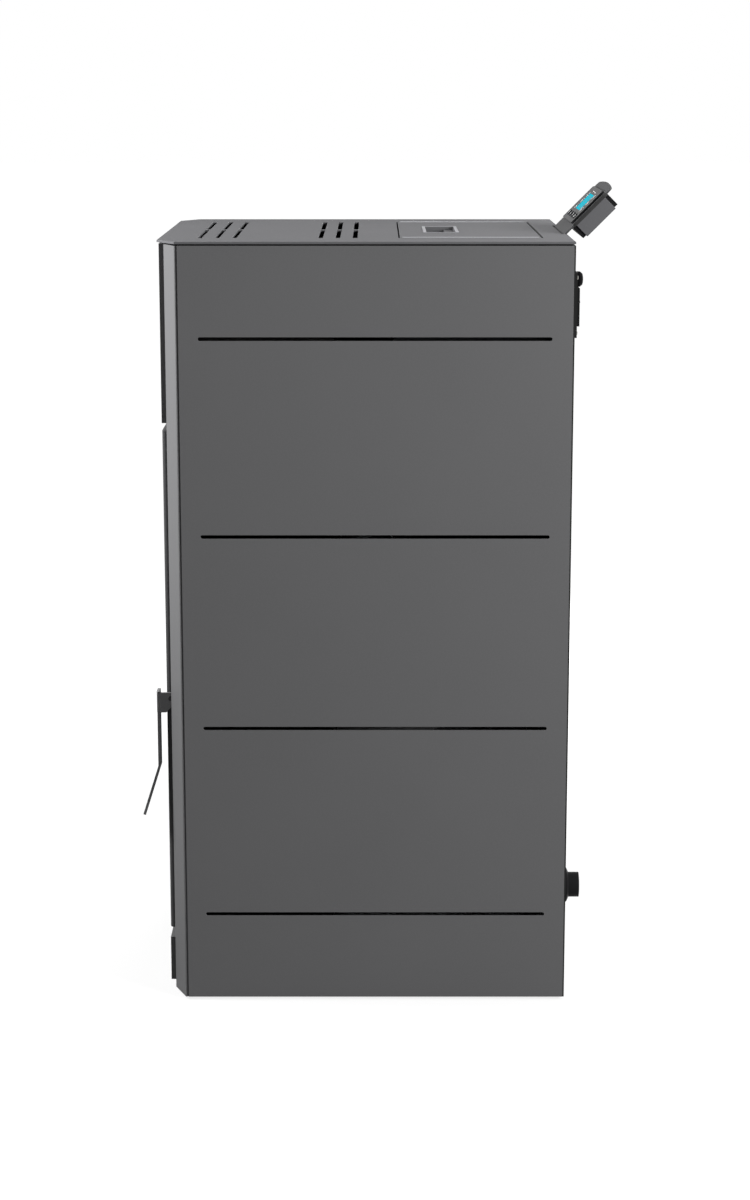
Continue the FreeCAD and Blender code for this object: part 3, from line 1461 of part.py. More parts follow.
def door_glazing():
    """Ceramic glass in its rebate and the clips that hold it."""
    lap = "glass_lap - glass_room"
    node(box("door_glass", grown(both("window_reach"), lap), span("glass_y", "glass_thick"),
             grown(("window_low", "window_high"), lap)))
    clips = []
    edge = "window_reach + glass_lap"
    for side in (-1, 1):
        for row, z in enumerate(("window_low + clip_width", "window_high - clip_width")):
            tag = f"{side + 1}_{row}"
            near = f"{side} * ({edge} - clip_reach / 2)"
            strap = ordered(near, f"{side} * ({edge} + clip_reach / 2)")
            foot = ordered(near, f"{side} * ({edge} - clip_set)")
            tall = about(z, "clip_width")
            clips.append(union(
                f"clip_{tag}",
                box(f"clip_strap_{tag}", strap, span("door_back", "clip_sheet"), tall),
                box(f"clip_foot_{tag}", foot, ("glass_y + glass_thick", "door_back"), tall),
            ))
    node(group("glass_clips", *clips))


def door_rope_seal():
    """Rope gasket round the door's back, just clear of the front frame when shut."""
    x = both("door_half - rope_margin")
    z = ("door_low + rope_margin", "door_high - rope_margin")
    outer = box("rope_outer", x, ("door_back", "frame_y - fit"), z)
    inner = box("rope_inner", grown(x, "-rope_width"), grown(("door_back", "frame_y"), "overrun"),
                grown(z, "-rope_width"))
    return node(cut("door_rope_seal", outer, inner))


def door_hinges():
    """Lugs on the front frame above and below the door, each with its pin."""
    spot = ("hinge_x", "hinge_y")
    x = about("hinge_x", "lug_width")
    y = ("hinge_y - door_thick / 2", "frame_y")
    upper = span("door_high + (upper_joint - lug_sheet) / 2", "lug_sheet")
    lower = span("door_low - (lower_joint + lug_sheet) / 2", "lug_sheet")
    made = [
        union("hinge_upper", box("lug_upper", x, y, upper),
              rod("pin_upper", "z", ("door_high - hinge_pin_grip", upper[0]), spot, "hinge_pin")),
        union("hinge_lower", box("lug_lower", x, y, lower),
              rod("pin_lower", "z", (lower[1], "door_low + hinge_pin_grip"), spot, "hinge_pin"),
              rod("collar_lower", "z", (lower[1], "door_low - fit"), spot, "door_thick / 2")),
    ]
    return node(group("door_hinges", *made))


def latch():
    """Lever plate on the door's edge stud, with its claw, and the keeper on the column."""
    corners = [
        ("strip_back", "latch_height + latch_eye"),
        ("hinge_y + latch_eye / 2", "latch_height + latch_eye"),
        ("hinge_y + latch_eye", "latch_height + latch_eye / 4"),
        ("hinge_y + latch_eye", "latch_height - latch_eye / 4"),
        ("claw_front", "latch_height - latch_eye / 4"),
        ("claw_front", "latch_height + claw_rise"),
        ("claw_back", "latch_height + claw_rise"),
        ("claw_back", "latch_height - latch_eye / 4 - claw_arm"),
        ("hinge_y", "latch_height - latch_eye / 4 - claw_arm"),
        ("front_y - fit", "bracket_low"),
        ("strip_back", "bracket_low"),
    ]
    thick = span("latch_x", "latch_sheet")
    plate = prism("latch_plate", "YZ_Plane", corners, thick)
    pivot = ("hinge_y", "latch_height")
    eye = rod("latch_hole", "x", grown(thick, "overrun"), pivot, "latch_stud + running")
    node(cut("latch_lever", plate, eye))
    node(rod("latch_keeper", "x", ("latch_x - fit", "column_x"), ("keeper_y", "keeper_z"), "keeper_radius"))


def door_handle():
    """Flat strip that hangs in front of the door and flares out, its head folded round onto the lever."""
    miter = "handle_sheet * tan(handle_flare / 2)"
    out, down = "handle_leg * sin(handle_flare)", "handle_leg * cos(handle_flare)"
    corners = [
        ("strip_front", "bracket_low"),
        ("strip_back", "bracket_low"),
        ("strip_back", f"strip_bend - {miter}"),
        (f"strip_front - {out} + handle_sheet * cos(handle_flare)",
         f"strip_bend - {down} - handle_sheet * sin(handle_flare)"),
        (f"strip_front - {out}", f"strip_bend - {down}"),
        ("strip_front", "strip_bend"),
    ]
    side, front = "latch_x + latch_sheet", "strip_front - bracket_proud"
    inner, tall = f"{side} - handle_width", ("bracket_low", "strip_top")
    fold_x, fold_y = f"{side} - bracket_round", f"{front} + bracket_round"
    return node(union(
        "door_handle",
        prism("handle_strip", "YZ_Plane", corners, (inner, side)),
        box("handle_head_front", (inner, fold_x), (front, "strip_back"), tall),
        box("handle_head_side", (inner, side), (fold_y, "strip_back"), tall),
        rod("handle_head_fold", "z", tall, (fold_x, fold_y), "bracket_round"),
    ))


def knuckle_span(number):
    """Width span of one place in the row of hinge knuckles, with its play."""
    start = f"({number} - knuckle_count / 2) * knuckle"
    return grown(span(start, "knuckle"), "-fit / 2")


def knuckles(name, numbers, radius):
    """Hinge knuckles at the given places of the row."""
    return [
        rod(f"{name}_{i}", "x", knuckle_span(i), ("lid_axis_y", "lid_axis_z"), radius)
        for i in numbers
    ]


def leaf_tabs(name, numbers, y):
    """Short straps that join the knuckles to their leaf."""
    return [
        box(f"{name}_{i}", knuckle_span(i), y, ("top_under - leaf_sheet", "lid_axis_z"))
        for i in numbers
    ]


def hopper_lid():
    """Flush lid with two pressed beads, its moving hinge leaf, and the fixed leaf with the pin."""
    across = grown(both("pull_width / 2"), "-pull_rim")
    along = grown(span("pull_front", "pull_depth"), "-pull_rim")
    lid_y = ("lid_front", "lid_rear")
    lid = box("lid_blank", both("lid_half"), lid_y, ("top_z - lid_sheet", "top_z"))
    beads = [rod(f"lid_bead_{side + 1}", "y", grown(lid_y, "-lid_bead_inset"),
                 (f"{side} * (lid_half - lid_bead_inset)", "top_z + lid_bead_rise - lid_bead"), "lid_bead")
             for side in (-1, 1)]
    opening = box("lid_opening", across, along, about("top_z", "4 * lid_sheet"))
    node(cut("hopper_lid", union("lid_beaded", lid, *beads), opening))
    reach = both("knuckle_count / 2 * knuckle")
    places = range(int(value("knuckle_count")))
    level_z = ("top_under - leaf_sheet", "top_under")
    moving = union(
        "leaf_moving_blank",
        box("leaf_moving", reach, ("lid_rear - lid_leaf", "lid_rear"), level_z),
        *knuckles("knuckle_moving", places[1::2], "lid_barrel"),
        *leaf_tabs("tab_moving", places[1::2], ("lid_rear", "lid_axis_y")),
    )
    axis = ("lid_axis_y", "lid_axis_z")
    bore = rod("leaf_bore", "x", grown(reach, "overrun"), axis, "lid_pin + running")
    node(cut("lid_hinge_leaf", moving, bore))
    start = "2 * lid_axis_y - lid_rear"
    node(union(
        "lid_hinge_pin",
        box("leaf_fixed", reach, span(start, "lid_leaf"), level_z),
        rod("leaf_pin", "x", reach, axis, "lid_pin"),
        *knuckles("knuckle_fixed", places[::2], "lid_barrel"),
        *leaf_tabs("tab_fixed", places[::2], ("lid_axis_y", start)),
    ))


def lid_pull():
    """Pressed finger cup let into the lid: a rim, a deep front and a shallow shelf behind."""
    rim_x, rim_y = both("pull_width / 2"), span("pull_front", "pull_depth")
    cup_x, cup_y = grown(rim_x, "-pull_rim - fit"), grown(rim_y, "-pull_rim - fit")
    rim = box("pull_rim_plate", rim_x, rim_y, span("top_z", "leaf_sheet / 2"))
    cup = box("pull_cup", cup_x, cup_y, ("top_z - pull_drop", "top_z"))
    inner_x, inner_y = grown(cup_x, "-leaf_sheet"), grown(cup_y, "-leaf_sheet")
    edge = f"({inner_y[1]}) - pull_shelf"
    above = "top_z + 2 * leaf_sheet"
    deep = box("pull_deep", inner_x, (inner_y[0], edge), ("top_z - pull_drop + leaf_sheet", above))
    shelf = box("pull_shallow", inner_x, (f"{edge} - leaf_sheet", inner_y[1]),
                ("top_z - pull_shelf_drop", above))
    return node(cut("lid_pull", union("pull_blank", rim, cup), deep, shelf))


def control_box():
    """Electronics case on the rear panel's inner face."""
    part = body("control_box")
    outline = sketch(part, "XZ_Plane", "-back_y")
    rectangle(outline, span("control_left", "control_width"), span("control_low", "control_height"))
    case = pad(part, outline, "control_depth")

    def outer(edge):
        return all(abs(v.Y - value("back_y - control_depth")) < NEAR for v in edge.Vertexes)
    rounded(part, case, "control_round", outer)
    return node(part)


def rear_inlet():
    """Mains inlet module on its plate, with its rocker, and the safety thermostat's cap."""
    window_x = about("inlet_x", "socket_width - 2 * inlet_sheet")
    window_z = span("socket_foot", "socket_height")
    plate = box("inlet_blank", about("inlet_x", "inlet_width"), ("casing_rear", "inlet_back"),
                span("inlet_low", "inlet_height"))
    through = grown(("casing_rear", "inlet_back"), "overrun")
    node(cut("inlet_bracket", plate, box("inlet_window", window_x, through, window_z)))
    flange = box("socket_flange", about("inlet_x", "socket_width"), ("inlet_back", "socket_y"), window_z)
    block = box("socket_block", grown(window_x, "-fit"), ("back_y - post / 2", "inlet_back"),
                grown(window_z, "-fit"))
    opening_z = ("socket_foot + socket_rim", "rocker_z - rocker_height")
    mouth = box("socket_mouth", about("inlet_x", "socket_width - 4 * socket_proud"),
                ("back_y - post / 4", "socket_y + overrun"), opening_z)
    seat = box("rocker_seat", about("inlet_x", "rocker_width + rocker_room"),
               ("socket_y - rocker_depth", "socket_y + overrun"),
               about("rocker_z", "rocker_height + 2 * rocker_room"))
    pivot = ("rocker_y", "rocker_z")
    pin_span = about("inlet_x", "rocker_width + 2 * rocker_pin_reach")
    holes = rod("rocker_holes", "x", grown(pin_span, "rocker_room / 2"), pivot, "rocker_pin + running")
    shell = cut("socket_shell", union("socket_blank", flange, block), mouth, seat, holes)
    blades = [
        box(f"socket_blade_{i}", about(f"inlet_x + {across} * blade_pitch", "blade_width"),
            ("back_y - post / 4", "casing_rear"),
            about(f"({opening_z[0]} + {opening_z[1]}) / 2 + {up} * blade_stagger", "blade_height"))
        for i, (across, up) in enumerate(((-1, -1), (0, 1), (1, -1)))
    ]
    node(union("mains_inlet", shell, *blades))
    corners = [
        ("socket_y + rocker_proud", "rocker_z - rocker_height / 2 + rocker_room / 2"),
        ("socket_y + rocker_proud / 6", "rocker_z"),
        ("socket_y", "rocker_z + rocker_height / 2 - rocker_room / 2"),
        ("rocker_y - rocker_height / 5", "rocker_z + rocker_height / 3"),
        ("rocker_y - rocker_height / 5", "rocker_z - rocker_height / 3"),
    ]
    cap_block = prism("rocker_cap", "YZ_Plane", corners, about("inlet_x", "rocker_width"))
    pins = rod("rocker_pins", "x", pin_span, pivot, "rocker_pin")
    node(union("rocker_switch", cap_block, pins))
    cap = body("thermostat_cap")
    profile = sketch(cap, "XZ_Plane")
    polygon(profile, [
        ("0", "0"),
        ("cap_radius", "0"),
        ("cap_radius", "cap_wall"),
        ("cap_shoulder", "cap_proud - cap_ease"),
        ("cap_flat", "cap_proud"),
        ("0", "cap_proud"),
    ])
    turned = cap.newObject("PartDesign::Revolution", "cap_turned")
    turned.Profile = profile
    turned.ReferenceAxis = (profile, ["V_Axis"])
    turned.Angle = 360
    cap.Placement = Placement(Vector(), AXIS_TURN["y"])
    for axis, place in zip("xyz", ("inlet_x", "inlet_back", "inlet_low + inlet_height - cap_radius - fit")):
        bind(cap, f"Placement.Base.{axis}", place)
    node(cap)


def console_frame(item):
    """Places a piece drawn on the console: X across, Y up the slope, Z out of its face."""
    return lean(item, "console_lean", "console_y", "top_z")


def console_plate():
    """Leaning tongue with a curved upper edge and a foot under the top plate."""
    tongue = body("console_tongue")
    outline = sketch(tongue, "XY_Plane", "-console_sheet")
    corners = [("-console_half", "console_side"), ("-console_half", "-console_foot"),
               ("console_half", "-console_foot"), ("console_half", "console_side")]
    spots = [Vector(value(x), value(y), 0) for x, y in corners]
    for here, there in zip(spots, spots[1:]):
        outline.addGeometry(Part.LineSegment(here, there))
    outline.addGeometry(Part.Arc(spots[3], Vector(0, value("console_side + console_crown"), 0), spots[0]))
    for line in range(2):
        outline.addConstraint(Sketcher.Constraint("Coincident", line, 2, line + 1, 1))
        pin_point(outline, line, 1, corners[line])
    pin_point(outline, 2, 1, corners[2])
    pin_point(outline, 2, 2, corners[3])
    outline.addConstraint(Sketcher.Constraint("Coincident", 3, 1, 2, 2))
    outline.addConstraint(Sketcher.Constraint("Coincident", 3, 2, 0, 1))
    radius = "(console_half^2 + console_crown^2) / (2 * console_crown)"
    index = outline.addConstraint(Sketcher.Constraint("Radius", 3, value(radius)))
    bind(outline, f"Constraints[{index}]", radius)
    blank = pad(tongue, outline, "console_sheet")
    ends = [upright("console_half", "console_side"), upright("-console_half", "console_side")]
    rounded(tongue, blank, "console_corner", lambda edge: any(end(edge) for end in ends))
    foot = box("console_foot_flange", both("console_half"), ("bin_rear + seam", "console_y - top_sheet"),
               ("top_under - console_sheet", "top_under"))
    return node(union("console_plate", console_frame(tongue), foot))


def key_spots():
    """Places of the keys across the console."""
    return [f"({i} - (key_count - 1) / 2) * key_pitch" for i in range(int(value("key_count")))]


def display():
    """Display front with its window and keys, and the housing and cover behind the plate."""
    bezel = body("display_bezel")
    outline = sketch(bezel, "XY_Plane")
    rectangle(outline, both("bezel_half"), ("bezel_low", "bezel_high"))
    blank = pad(bezel, outline, "bezel_thick")
    rounded(bezel, blank, "2 * key_corner", rises)
    window = sketch(bezel, "XY_Plane")
    rectangle(window, both("lcd_half"), ("lcd_low", "lcd_high"))
    for x in key_spots():
        rectangle(window, grown(about(x, "2 * key_half"), "fit"), grown(("key_low", "key_high"), "fit"))
    pocket(bezel, window)
    node(console_frame(bezel))
    glass = box("lcd_glass", both("lcd_half"), ("lcd_low", "lcd_high"), ("0", "bezel_thick - fit"))
    node(console_frame(group("lcd_window", glass)))
    depth = ("-console_sheet - housing_depth", "-console_sheet")
    long = ("housing_low", "housing_high")
    case = box("housing_case", both("housing_half"), long, depth)
    node(console_frame(group("display_housing", case)))
    outer = box("cover_outer", both("housing_half + cover_sheet"), ("cover_low", "cover_high"),
                (f"{depth[0]} - cover_sheet", depth[1]))
    inner = box("cover_inner", both("housing_half"), grown(("cover_low", "cover_high"), "overrun"),
                (depth[0], "overrun"))
    node(console_frame(cut("display_cover", outer, inner)))
    for i, x in enumerate(key_spots(), start=1):
        key = body(f"console_key_{i}")
        outline = sketch(key, "XY_Plane", "bezel_thick + key_proud - key_thick")
        rectangle(outline, about(x, "2 * key_half"), ("key_low", "key_high"))
        cap = pad(key, outline, "key_thick")
        rounded(key, cap, "key_corner", rises)
        node(console_frame(key))


def build():
    """Makes every sub-part, outside in."""
    side_panel("right", 1)
    side_panel("left", -1)
    for make in (
        top_plate, rear_panel, base_pan, feet, chassis_frame, front_frame, upper_front_panel,
        firebox, firebox_liners, flame_baffle, exchanger_tubes, burn_pot, burn_pot_support, igniter,
        air_inlet_spigot, air_duct, hopper, auger_tube, auger_screw, auger_gearmotor, pellet_chute,
        exhaust_scroll, exhaust_motor, exhaust_impeller, smoke_duct, flue_collar,
        room_fan_housing, room_fan_motor, room_fan_rotor, drawer_rails, ash_drawer,
        door_frame, door_glazing, door_rope_seal, door_hinges, latch, door_handle,
        hopper_lid, lid_pull, control_box, rear_inlet, console_plate, display,
    ):
        make()


fill(DIMS, {alias: str(number) for alias, number in SIZES.items()})
fill(PLACES, {alias: "=" + expression(text) for alias, text in STATIONS.items()})
build()
DOC.recompute()

failed = [item.Label for item in DOC.Objects if {"Invalid", "Error"} & set(item.State)]
failed += [label for label, item in NODES.items() if item.Shape.isNull() or not item.Shape.isValid()]
if failed:
    raise ValueError(f"failed to build: {failed}")
os.makedirs("parts", exist_ok=True)
for label, item in NODES.items():
    item.Shape.exportStep(f"parts/{label}.step")
print(f"{len(NODES)} sub-parts written")
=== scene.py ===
import json
import math
from functools import partial

import bpy
import numpy as np
from bpy.props import FloatProperty, FloatVectorProperty, IntProperty, PointerProperty
from bpy.types import Operator, Panel, PropertyGroup
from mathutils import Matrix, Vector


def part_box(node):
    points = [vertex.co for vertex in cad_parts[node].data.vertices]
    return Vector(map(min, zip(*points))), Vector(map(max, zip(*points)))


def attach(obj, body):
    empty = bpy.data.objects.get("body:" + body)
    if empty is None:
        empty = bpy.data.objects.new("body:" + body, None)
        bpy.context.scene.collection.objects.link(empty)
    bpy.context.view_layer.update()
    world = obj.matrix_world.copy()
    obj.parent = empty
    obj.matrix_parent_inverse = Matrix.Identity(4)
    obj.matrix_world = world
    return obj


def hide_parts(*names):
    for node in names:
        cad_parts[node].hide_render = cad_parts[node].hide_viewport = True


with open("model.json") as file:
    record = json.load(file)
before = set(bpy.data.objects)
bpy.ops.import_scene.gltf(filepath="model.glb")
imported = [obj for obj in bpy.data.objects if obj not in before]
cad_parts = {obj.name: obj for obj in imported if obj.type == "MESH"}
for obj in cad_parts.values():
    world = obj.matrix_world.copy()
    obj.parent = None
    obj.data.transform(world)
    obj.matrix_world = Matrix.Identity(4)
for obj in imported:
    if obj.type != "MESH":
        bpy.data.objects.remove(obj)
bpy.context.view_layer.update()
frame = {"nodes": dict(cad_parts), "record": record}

bl_info = {
    "name": "Pellet stove",
    "version": (1, 0, 0),
    "blender": (4, 5, 0),
    "location": "3D View > Sidebar > Stove",
    "description": "Finishes, small pieces and studio for a free-standing pellet stove",
    "category": "Object",
}

SLOT_OF_NODE = {part["node"]: part["material_slot"] for part in frame["record"]["subparts"]}
MM = 0.001
ABOVE_ALL = 10.0  # a height that no piece reaches
SLOPE = math.radians(45)  # lean of the console
SLOPE_ACROSS = np.array([1.0, 0.0, 0.0])
SLOPE_UP = np.array([0.0, math.cos(SLOPE), math.sin(SLOPE)])
SLOPE_OUT = np.array([0.0, -math.sin(SLOPE), math.cos(SLOPE)])


def linear(hex_colour):
    """An sRGB hex colour as linear red, green and blue."""
    part = np.array([int(hex_colour[i:i + 2], 16) for i in (1, 3, 5)]) / 255
    return tuple(np.where(part <= 0.04045, part / 12.92, ((part + 0.055) / 1.055) ** 2.4))


WHITE = linear("#ffffff")


def colour(label, text, hex_colour):
    """A colour that a user would change, written as sRGB hex."""
    return FloatVectorProperty(name=label, description=text, subtype="COLOR", size=3, min=0, max=1,
                               default=linear(hex_colour))


def length(label, text, millimetres):
    """A size that a user would change, written in millimetres."""
    return FloatProperty(name=label, description=text, unit="LENGTH", min=0, default=millimetres * MM)


def count(label, text, number):
    """A number of like pieces that a user would change."""
    return IntProperty(name=label, description=text, min=2, default=number)


def power(label, text, watts):
    """A lamp's power that a user would change, written in watts."""
    return FloatProperty(name=label, description=text, subtype="POWER", min=0, default=watts)


class StoveFinish(PropertyGroup):
    """Colours of the stove's finishes."""
    casing: colour("Casing", "Powder coat on the side panels and front panels", "#5c5c5d")
    top: colour("Top", "Powder coat on the top plate and the lid", "#58585a")
    door: colour("Door", "Powder coat on the door", "#3f3f40")
    handle: colour("Handle", "Paint on the door handle and its lever", "#727273")
    stove_black: colour("Stove black", "Heat-resistant paint on the firebox and brackets", "#1c1c1c")
    zinc: colour("Zinc", "Hot-dip zinc on the inner sheet metal", "#aeb1b4")
    # The hopper's darker zinc is painted shade.
    hopper: colour("Hopper", "Zinc of the hopper, darkened as painted shade", "#47484a")
    stainless: colour("Stainless", "Stainless tubes, auger and fan wheels", "#b9b7b3")
    casting: colour("Casting", "Die-cast motor and gearbox housings", "#9b9da0")
    iron: colour("Iron", "Cast burn pot", "#37373a")
    board: colour("Board", "Vermiculite firebox liners", "#a8946b")
    ceramic: colour("Ceramic", "Igniter rod", "#d8d4c8")
    glass: colour("Glass", "Smoked glass-ceramic of the door", "#5a5450")
    rope: colour("Rope", "Glass-fibre door seal", "#3a3a39")
    plastic: colour("Plastic", "Moulded inlet, switch and display case", "#181819")
    cap: colour("Cap", "Cap over the thermostat's reset", "#0a0a0b")
    console: colour("Console", "Powder coat on the console's plate", "#3c3c3d")
    key: colour("Key", "Console keys", "#303032")
    bezel: colour("Bezel", "Front of the display", "#2d2d2e")
    screen: colour("Screen", "Lit display", "#10bdd4")
    segment: colour("Segment", "Dark segments of the display", "#0b4a58")
    rubber: colour("Rubber", "Feet, and the console's black shadow strips", "#262626")
    print_white: colour("Print", "Printed signs", "#e6e6e4")


class StoveSizes(PropertyGroup):
    """Sizes of the pieces that are added to the solids."""
    strand: length("Strand", "Spacing of the strands along the rope seal", 9.0)
    strand_depth: length("Strand depth", "Depth of the grooves between strands", 0.45)
    strand_count: count("Strands", "Strands each way round the rope", 6)
    rope_width: length("Rope width", "Half width of the rope seal", 5.0)
    rope_corner: length("Rope corner", "Radius of the rope seal's corners", 16.0)
    screw: length("Panel screw", "Head radius of the rear panel's screws", 4.2)
    screw_inset: length("Screw inset", "Rear panel's screws from its sides, on the panels' folds", 32.0)
    screw_foot: length("Lowest screw", "Rear panel's screws from its lower edge", 56.0)
    screw_top: length("Highest screw", "Rear panel's screws from its upper edge", 28.0)
    screw_rows: count("Screw rows", "Screws up each side of the rear panel", 5)
    small_screw: length("Small screw", "Head radius of the clip and inlet screws", 2.6)
    inlet_inset: length("Inlet screw inset", "Inlet plate's screws from its sides", 3.2)
    inlet_rise: length("Inlet screw rise", "Inlet plate's screws from its ends", 6.0)
    clip_inset: length("Clip screw inset", "Glass clips' screws from their outer edges", 5.5)
    clip_rise: length("Clip screw rise", "Glass clips' screws from their ends", 17.0)
    print_height: length("Print height", "How far printed signs stand off their face", 0.06)
    sign: length("Sign", "Half size of a printed sign beside the display", 2.6)
    # Sizes of the black strips that paint the shadow along the console's edges.
    shadow_strip: length("Shadow strip", "Half width of the black strips painting shadow on the console's edges", 2.4)
    shadow_strip_sheet: length("Shadow strip thickness", "Half thickness of the black shadow strips", 0.3)
    ribs: count("Cap ribs", "Grip ribs round the thermostat cap", 24)


class StoveStage(PropertyGroup):
    """The studio and its camera."""
    camera_x: length("Camera side", "Camera to the stove's middle plane", 3389.0)
    camera_y: FloatProperty(name="Camera along", description="Camera towards the rear", unit="LENGTH",
                            default=-4 * MM)
    camera_z: length("Camera height", "Camera above the floor", 1216.0)
    camera_pitch: FloatProperty(name="Camera pitch", description="How far the camera looks down",
                                subtype="ANGLE", default=math.radians(12.02))
    lens: FloatProperty(name="Lens", description="Focal length in millimetres", default=74.87, min=1)
    floor: colour("Floor", "Pale floor", "#747474")
    floor_glow: FloatProperty(name="Floor glow", description="White that the camera sees in the near floor",
                              default=0.8, min=0, max=1)
    ambient: FloatProperty(name="Ambient", description="Even light from all round", default=0.1, min=0)
    key_power: power("Key light", "Lamp above the stove's right rear", 152)
    front_power: power("Front light", "Lamp above the stove's front", 44)
    left_power: power("Left light", "Lamp beside the stove's left panel", 54)
    top_power: power("Top light", "Low lamp behind the top plate", 5.5)


def set_inputs(node, sockets):
    """Sets each named or numbered input of a node, or links it where the value is an output."""
    for name, value in sockets.items():
        if isinstance(value, bpy.types.NodeSocket):
            node.id_data.links.new(value, node.inputs[name])
        else:
            node.inputs[name].default_value = value


def add_node(tree, kind, sockets, **settings):
    """Adds a shader node with its settings, and sets or links its inputs."""
    node = tree.nodes.new("ShaderNode" + kind)
    for name, value in settings.items():
        setattr(node, name, value)
    set_inputs(node, sockets)
    return node


def per_mm(size):
    """Texture scale at which a pattern repeats every so many millimetres of Object space."""
    return 1 / (size * MM)


def shade(tint, factor):
    """A colour made darker or lighter, with the alpha that a socket wants."""
    return tuple(min(1.0, channel * factor) for channel in tint) + (1.0,)


def new_material(name):
    """A material with its shader, Object coordinates to place its patterns, and a way to add nodes."""
    material = bpy.data.materials.new(name)
    material.use_nodes = True
    add = partial(add_node, material.node_tree)
    place = add("TexCoord", {}).outputs["Object"]
    return material, material.node_tree.nodes["Principled BSDF"], place, add


def powder_coat(name, tint, roughness, edge, highlight_above=ABOVE_ALL, highlight_lift=1.9):
    """Polyester powder coat baked on sheet steel, with painted highlights on its edges and above a height.
    """
    # Baked powder gives a satin skin with a fine orange peel, and its edges get a lighter line as a painted
    # highlight.
    material, shader, place, add = new_material(name)
    # The peel of real powder is about 0.5 mm, drawn at 1.6 mm so that it shows.
    peel = add("TexNoise", {"Vector": place, "Scale": per_mm(1.6), "Detail": 2.0})
    cloud = add("TexNoise", {"Vector": place, "Scale": per_mm(140), "Detail": 3.0})
    speck = add("TexNoise", {"Vector": place, "Scale": per_mm(2.4), "Detail": 1.0})
    drift = add("Mix", {0: cloud.outputs["Fac"], 6: shade(tint, 0.93), 7: shade(tint, 1.07)},
                data_type="RGBA")
    flecked = add("Mix", {0: speck.outputs["Fac"], 6: drift.outputs[2], 7: shade(tint, 1.1)},
                  data_type="RGBA")
    gloss = add("MapRange", {"Value": cloud.outputs["Fac"], "To Min": roughness - 0.05,
                             "To Max": roughness + 0.05})
    round_edge = add("Bevel", {"Radius": edge * MM}, samples=4)
    flat = add("NewGeometry", {}).outputs["True Normal"]
    turned = add("VectorMath", {0: round_edge.outputs["Normal"], 1: flat}, operation="DOT_PRODUCT")
    # Where the rounded normal turns away from the flat one, the edge is lightened as a painted highlight.
    edge_highlight = add("MapRange", {"Value": turned.outputs["Value"], "From Min": 1.0, "From Max": 0.75,
                            "To Min": 0.0, "To Max": 1.0})
    height = add("SeparateXYZ", {"Vector": place})
    # Above the given height the colour is lightened as a painted highlight.
    raised_highlight = add("MapRange", {"Value": height.outputs["Z"], "From Min": highlight_above,
                              "From Max": highlight_above + 0.3 * MM})
    pale = add("Math", {0: edge_highlight.outputs["Result"], 1: raised_highlight.outputs["Result"]}, operation="MAXIMUM")
    highlighted = add("Mix", {0: pale.outputs[0], 6: flecked.outputs[2], 7: shade(tint, highlight_lift)}, data_type="RGBA")
    bump = add("Bump", {"Height": peel.outputs["Fac"], "Normal": round_edge.outputs["Normal"],
                        "Strength": 0.25, "Distance": 0.05 * MM})
    set_inputs(shader, {"Base Color": highlighted.outputs[2], "Roughness": gloss.outputs["Result"],
                        "Normal": bump.outputs["Normal"], "Specular IOR Level": 0.06})
    return material


def stove_paint(name, tint):
    """Silicone stove paint sprayed on plate."""
    # Sprayed silicone paint is dead flat and a little dusty, with a dry grain.
    material, shader, place, add = new_material(name)
    grain = add("TexNoise", {"Vector": place, "Scale": per_mm(1.1), "Detail": 4.0})
    dust = add("TexNoise", {"Vector": place, "Scale": per_mm(60), "Detail": 5.0})
    tone = add("Mix", {0: dust.outputs["Fac"], 6: shade(tint, 0.8), 7: shade(tint, 1.35)}, data_type="RGBA")
    bump = add("Bump", {"Height": grain.outputs["Fac"], "Strength": 0.4, "Distance": 0.06 * MM})
    set_inputs(shader, {"Base Color": tone.outputs[2], "Roughness": 0.72, "Normal": bump.outputs["Normal"],
                        "Specular IOR Level": 0.2})
    return material


def galvanised_sheet(name, tint):
    """Hot-dip galvanised sheet steel."""
    # Zinc freezes in flat crystals, so neighbouring spangles catch the light by turns.
    material, shader, place, add = new_material(name)
    spangle = add("TexVoronoi", {"Vector": place, "Scale": per_mm(9)})
    haze = add("TexNoise", {"Vector": place, "Scale": per_mm(35), "Detail": 4.0})
    tone = add("Mix", {0: spangle.outputs["Color"], 6: shade(tint, 0.78), 7: shade(tint, 1.1)},
               data_type="RGBA")
    rough = add("MapRange", {"Value": spangle.outputs["Color"], "To Min": 0.3, "To Max": 0.52})
    bump = add("Bump", {"Height": haze.outputs["Fac"], "Strength": 0.15, "Distance": 0.1 * MM})
    set_inputs(shader, {"Base Color": tone.outputs[2], "Metallic": 1.0,
                        "Roughness": rough.outputs["Result"], "Normal": bump.outputs["Normal"]})
    return material


def brushed_stainless(name, tint):
    """Stainless steel finished with a belt."""
    # The belt leaves fine parallel scratches that break highlights into streaks.
    material, shader, place, add = new_material(name)
    along = add("Mapping", {"Vector": place, "Scale": (per_mm(60), per_mm(0.9), per_mm(0.9))})
    scratch = add("TexNoise", {"Vector": along.outputs["Vector"], "Scale": 1.0, "Detail": 3.0})
    tone = add("Mix", {0: scratch.outputs["Fac"], 6: shade(tint, 0.85), 7: shade(tint, 1.1)},
               data_type="RGBA")
    rough = add("MapRange", {"Value": scratch.outputs["Fac"], "To Min": 0.22, "To Max": 0.4})
    bump = add("Bump", {"Height": scratch.outputs["Fac"], "Strength": 0.2, "Distance": 0.03 * MM})
    set_inputs(shader, {"Base Color": tone.outputs[2], "Metallic": 1.0,
                        "Roughness": rough.outputs["Result"], "Normal": bump.outputs["Normal"]})
    return material


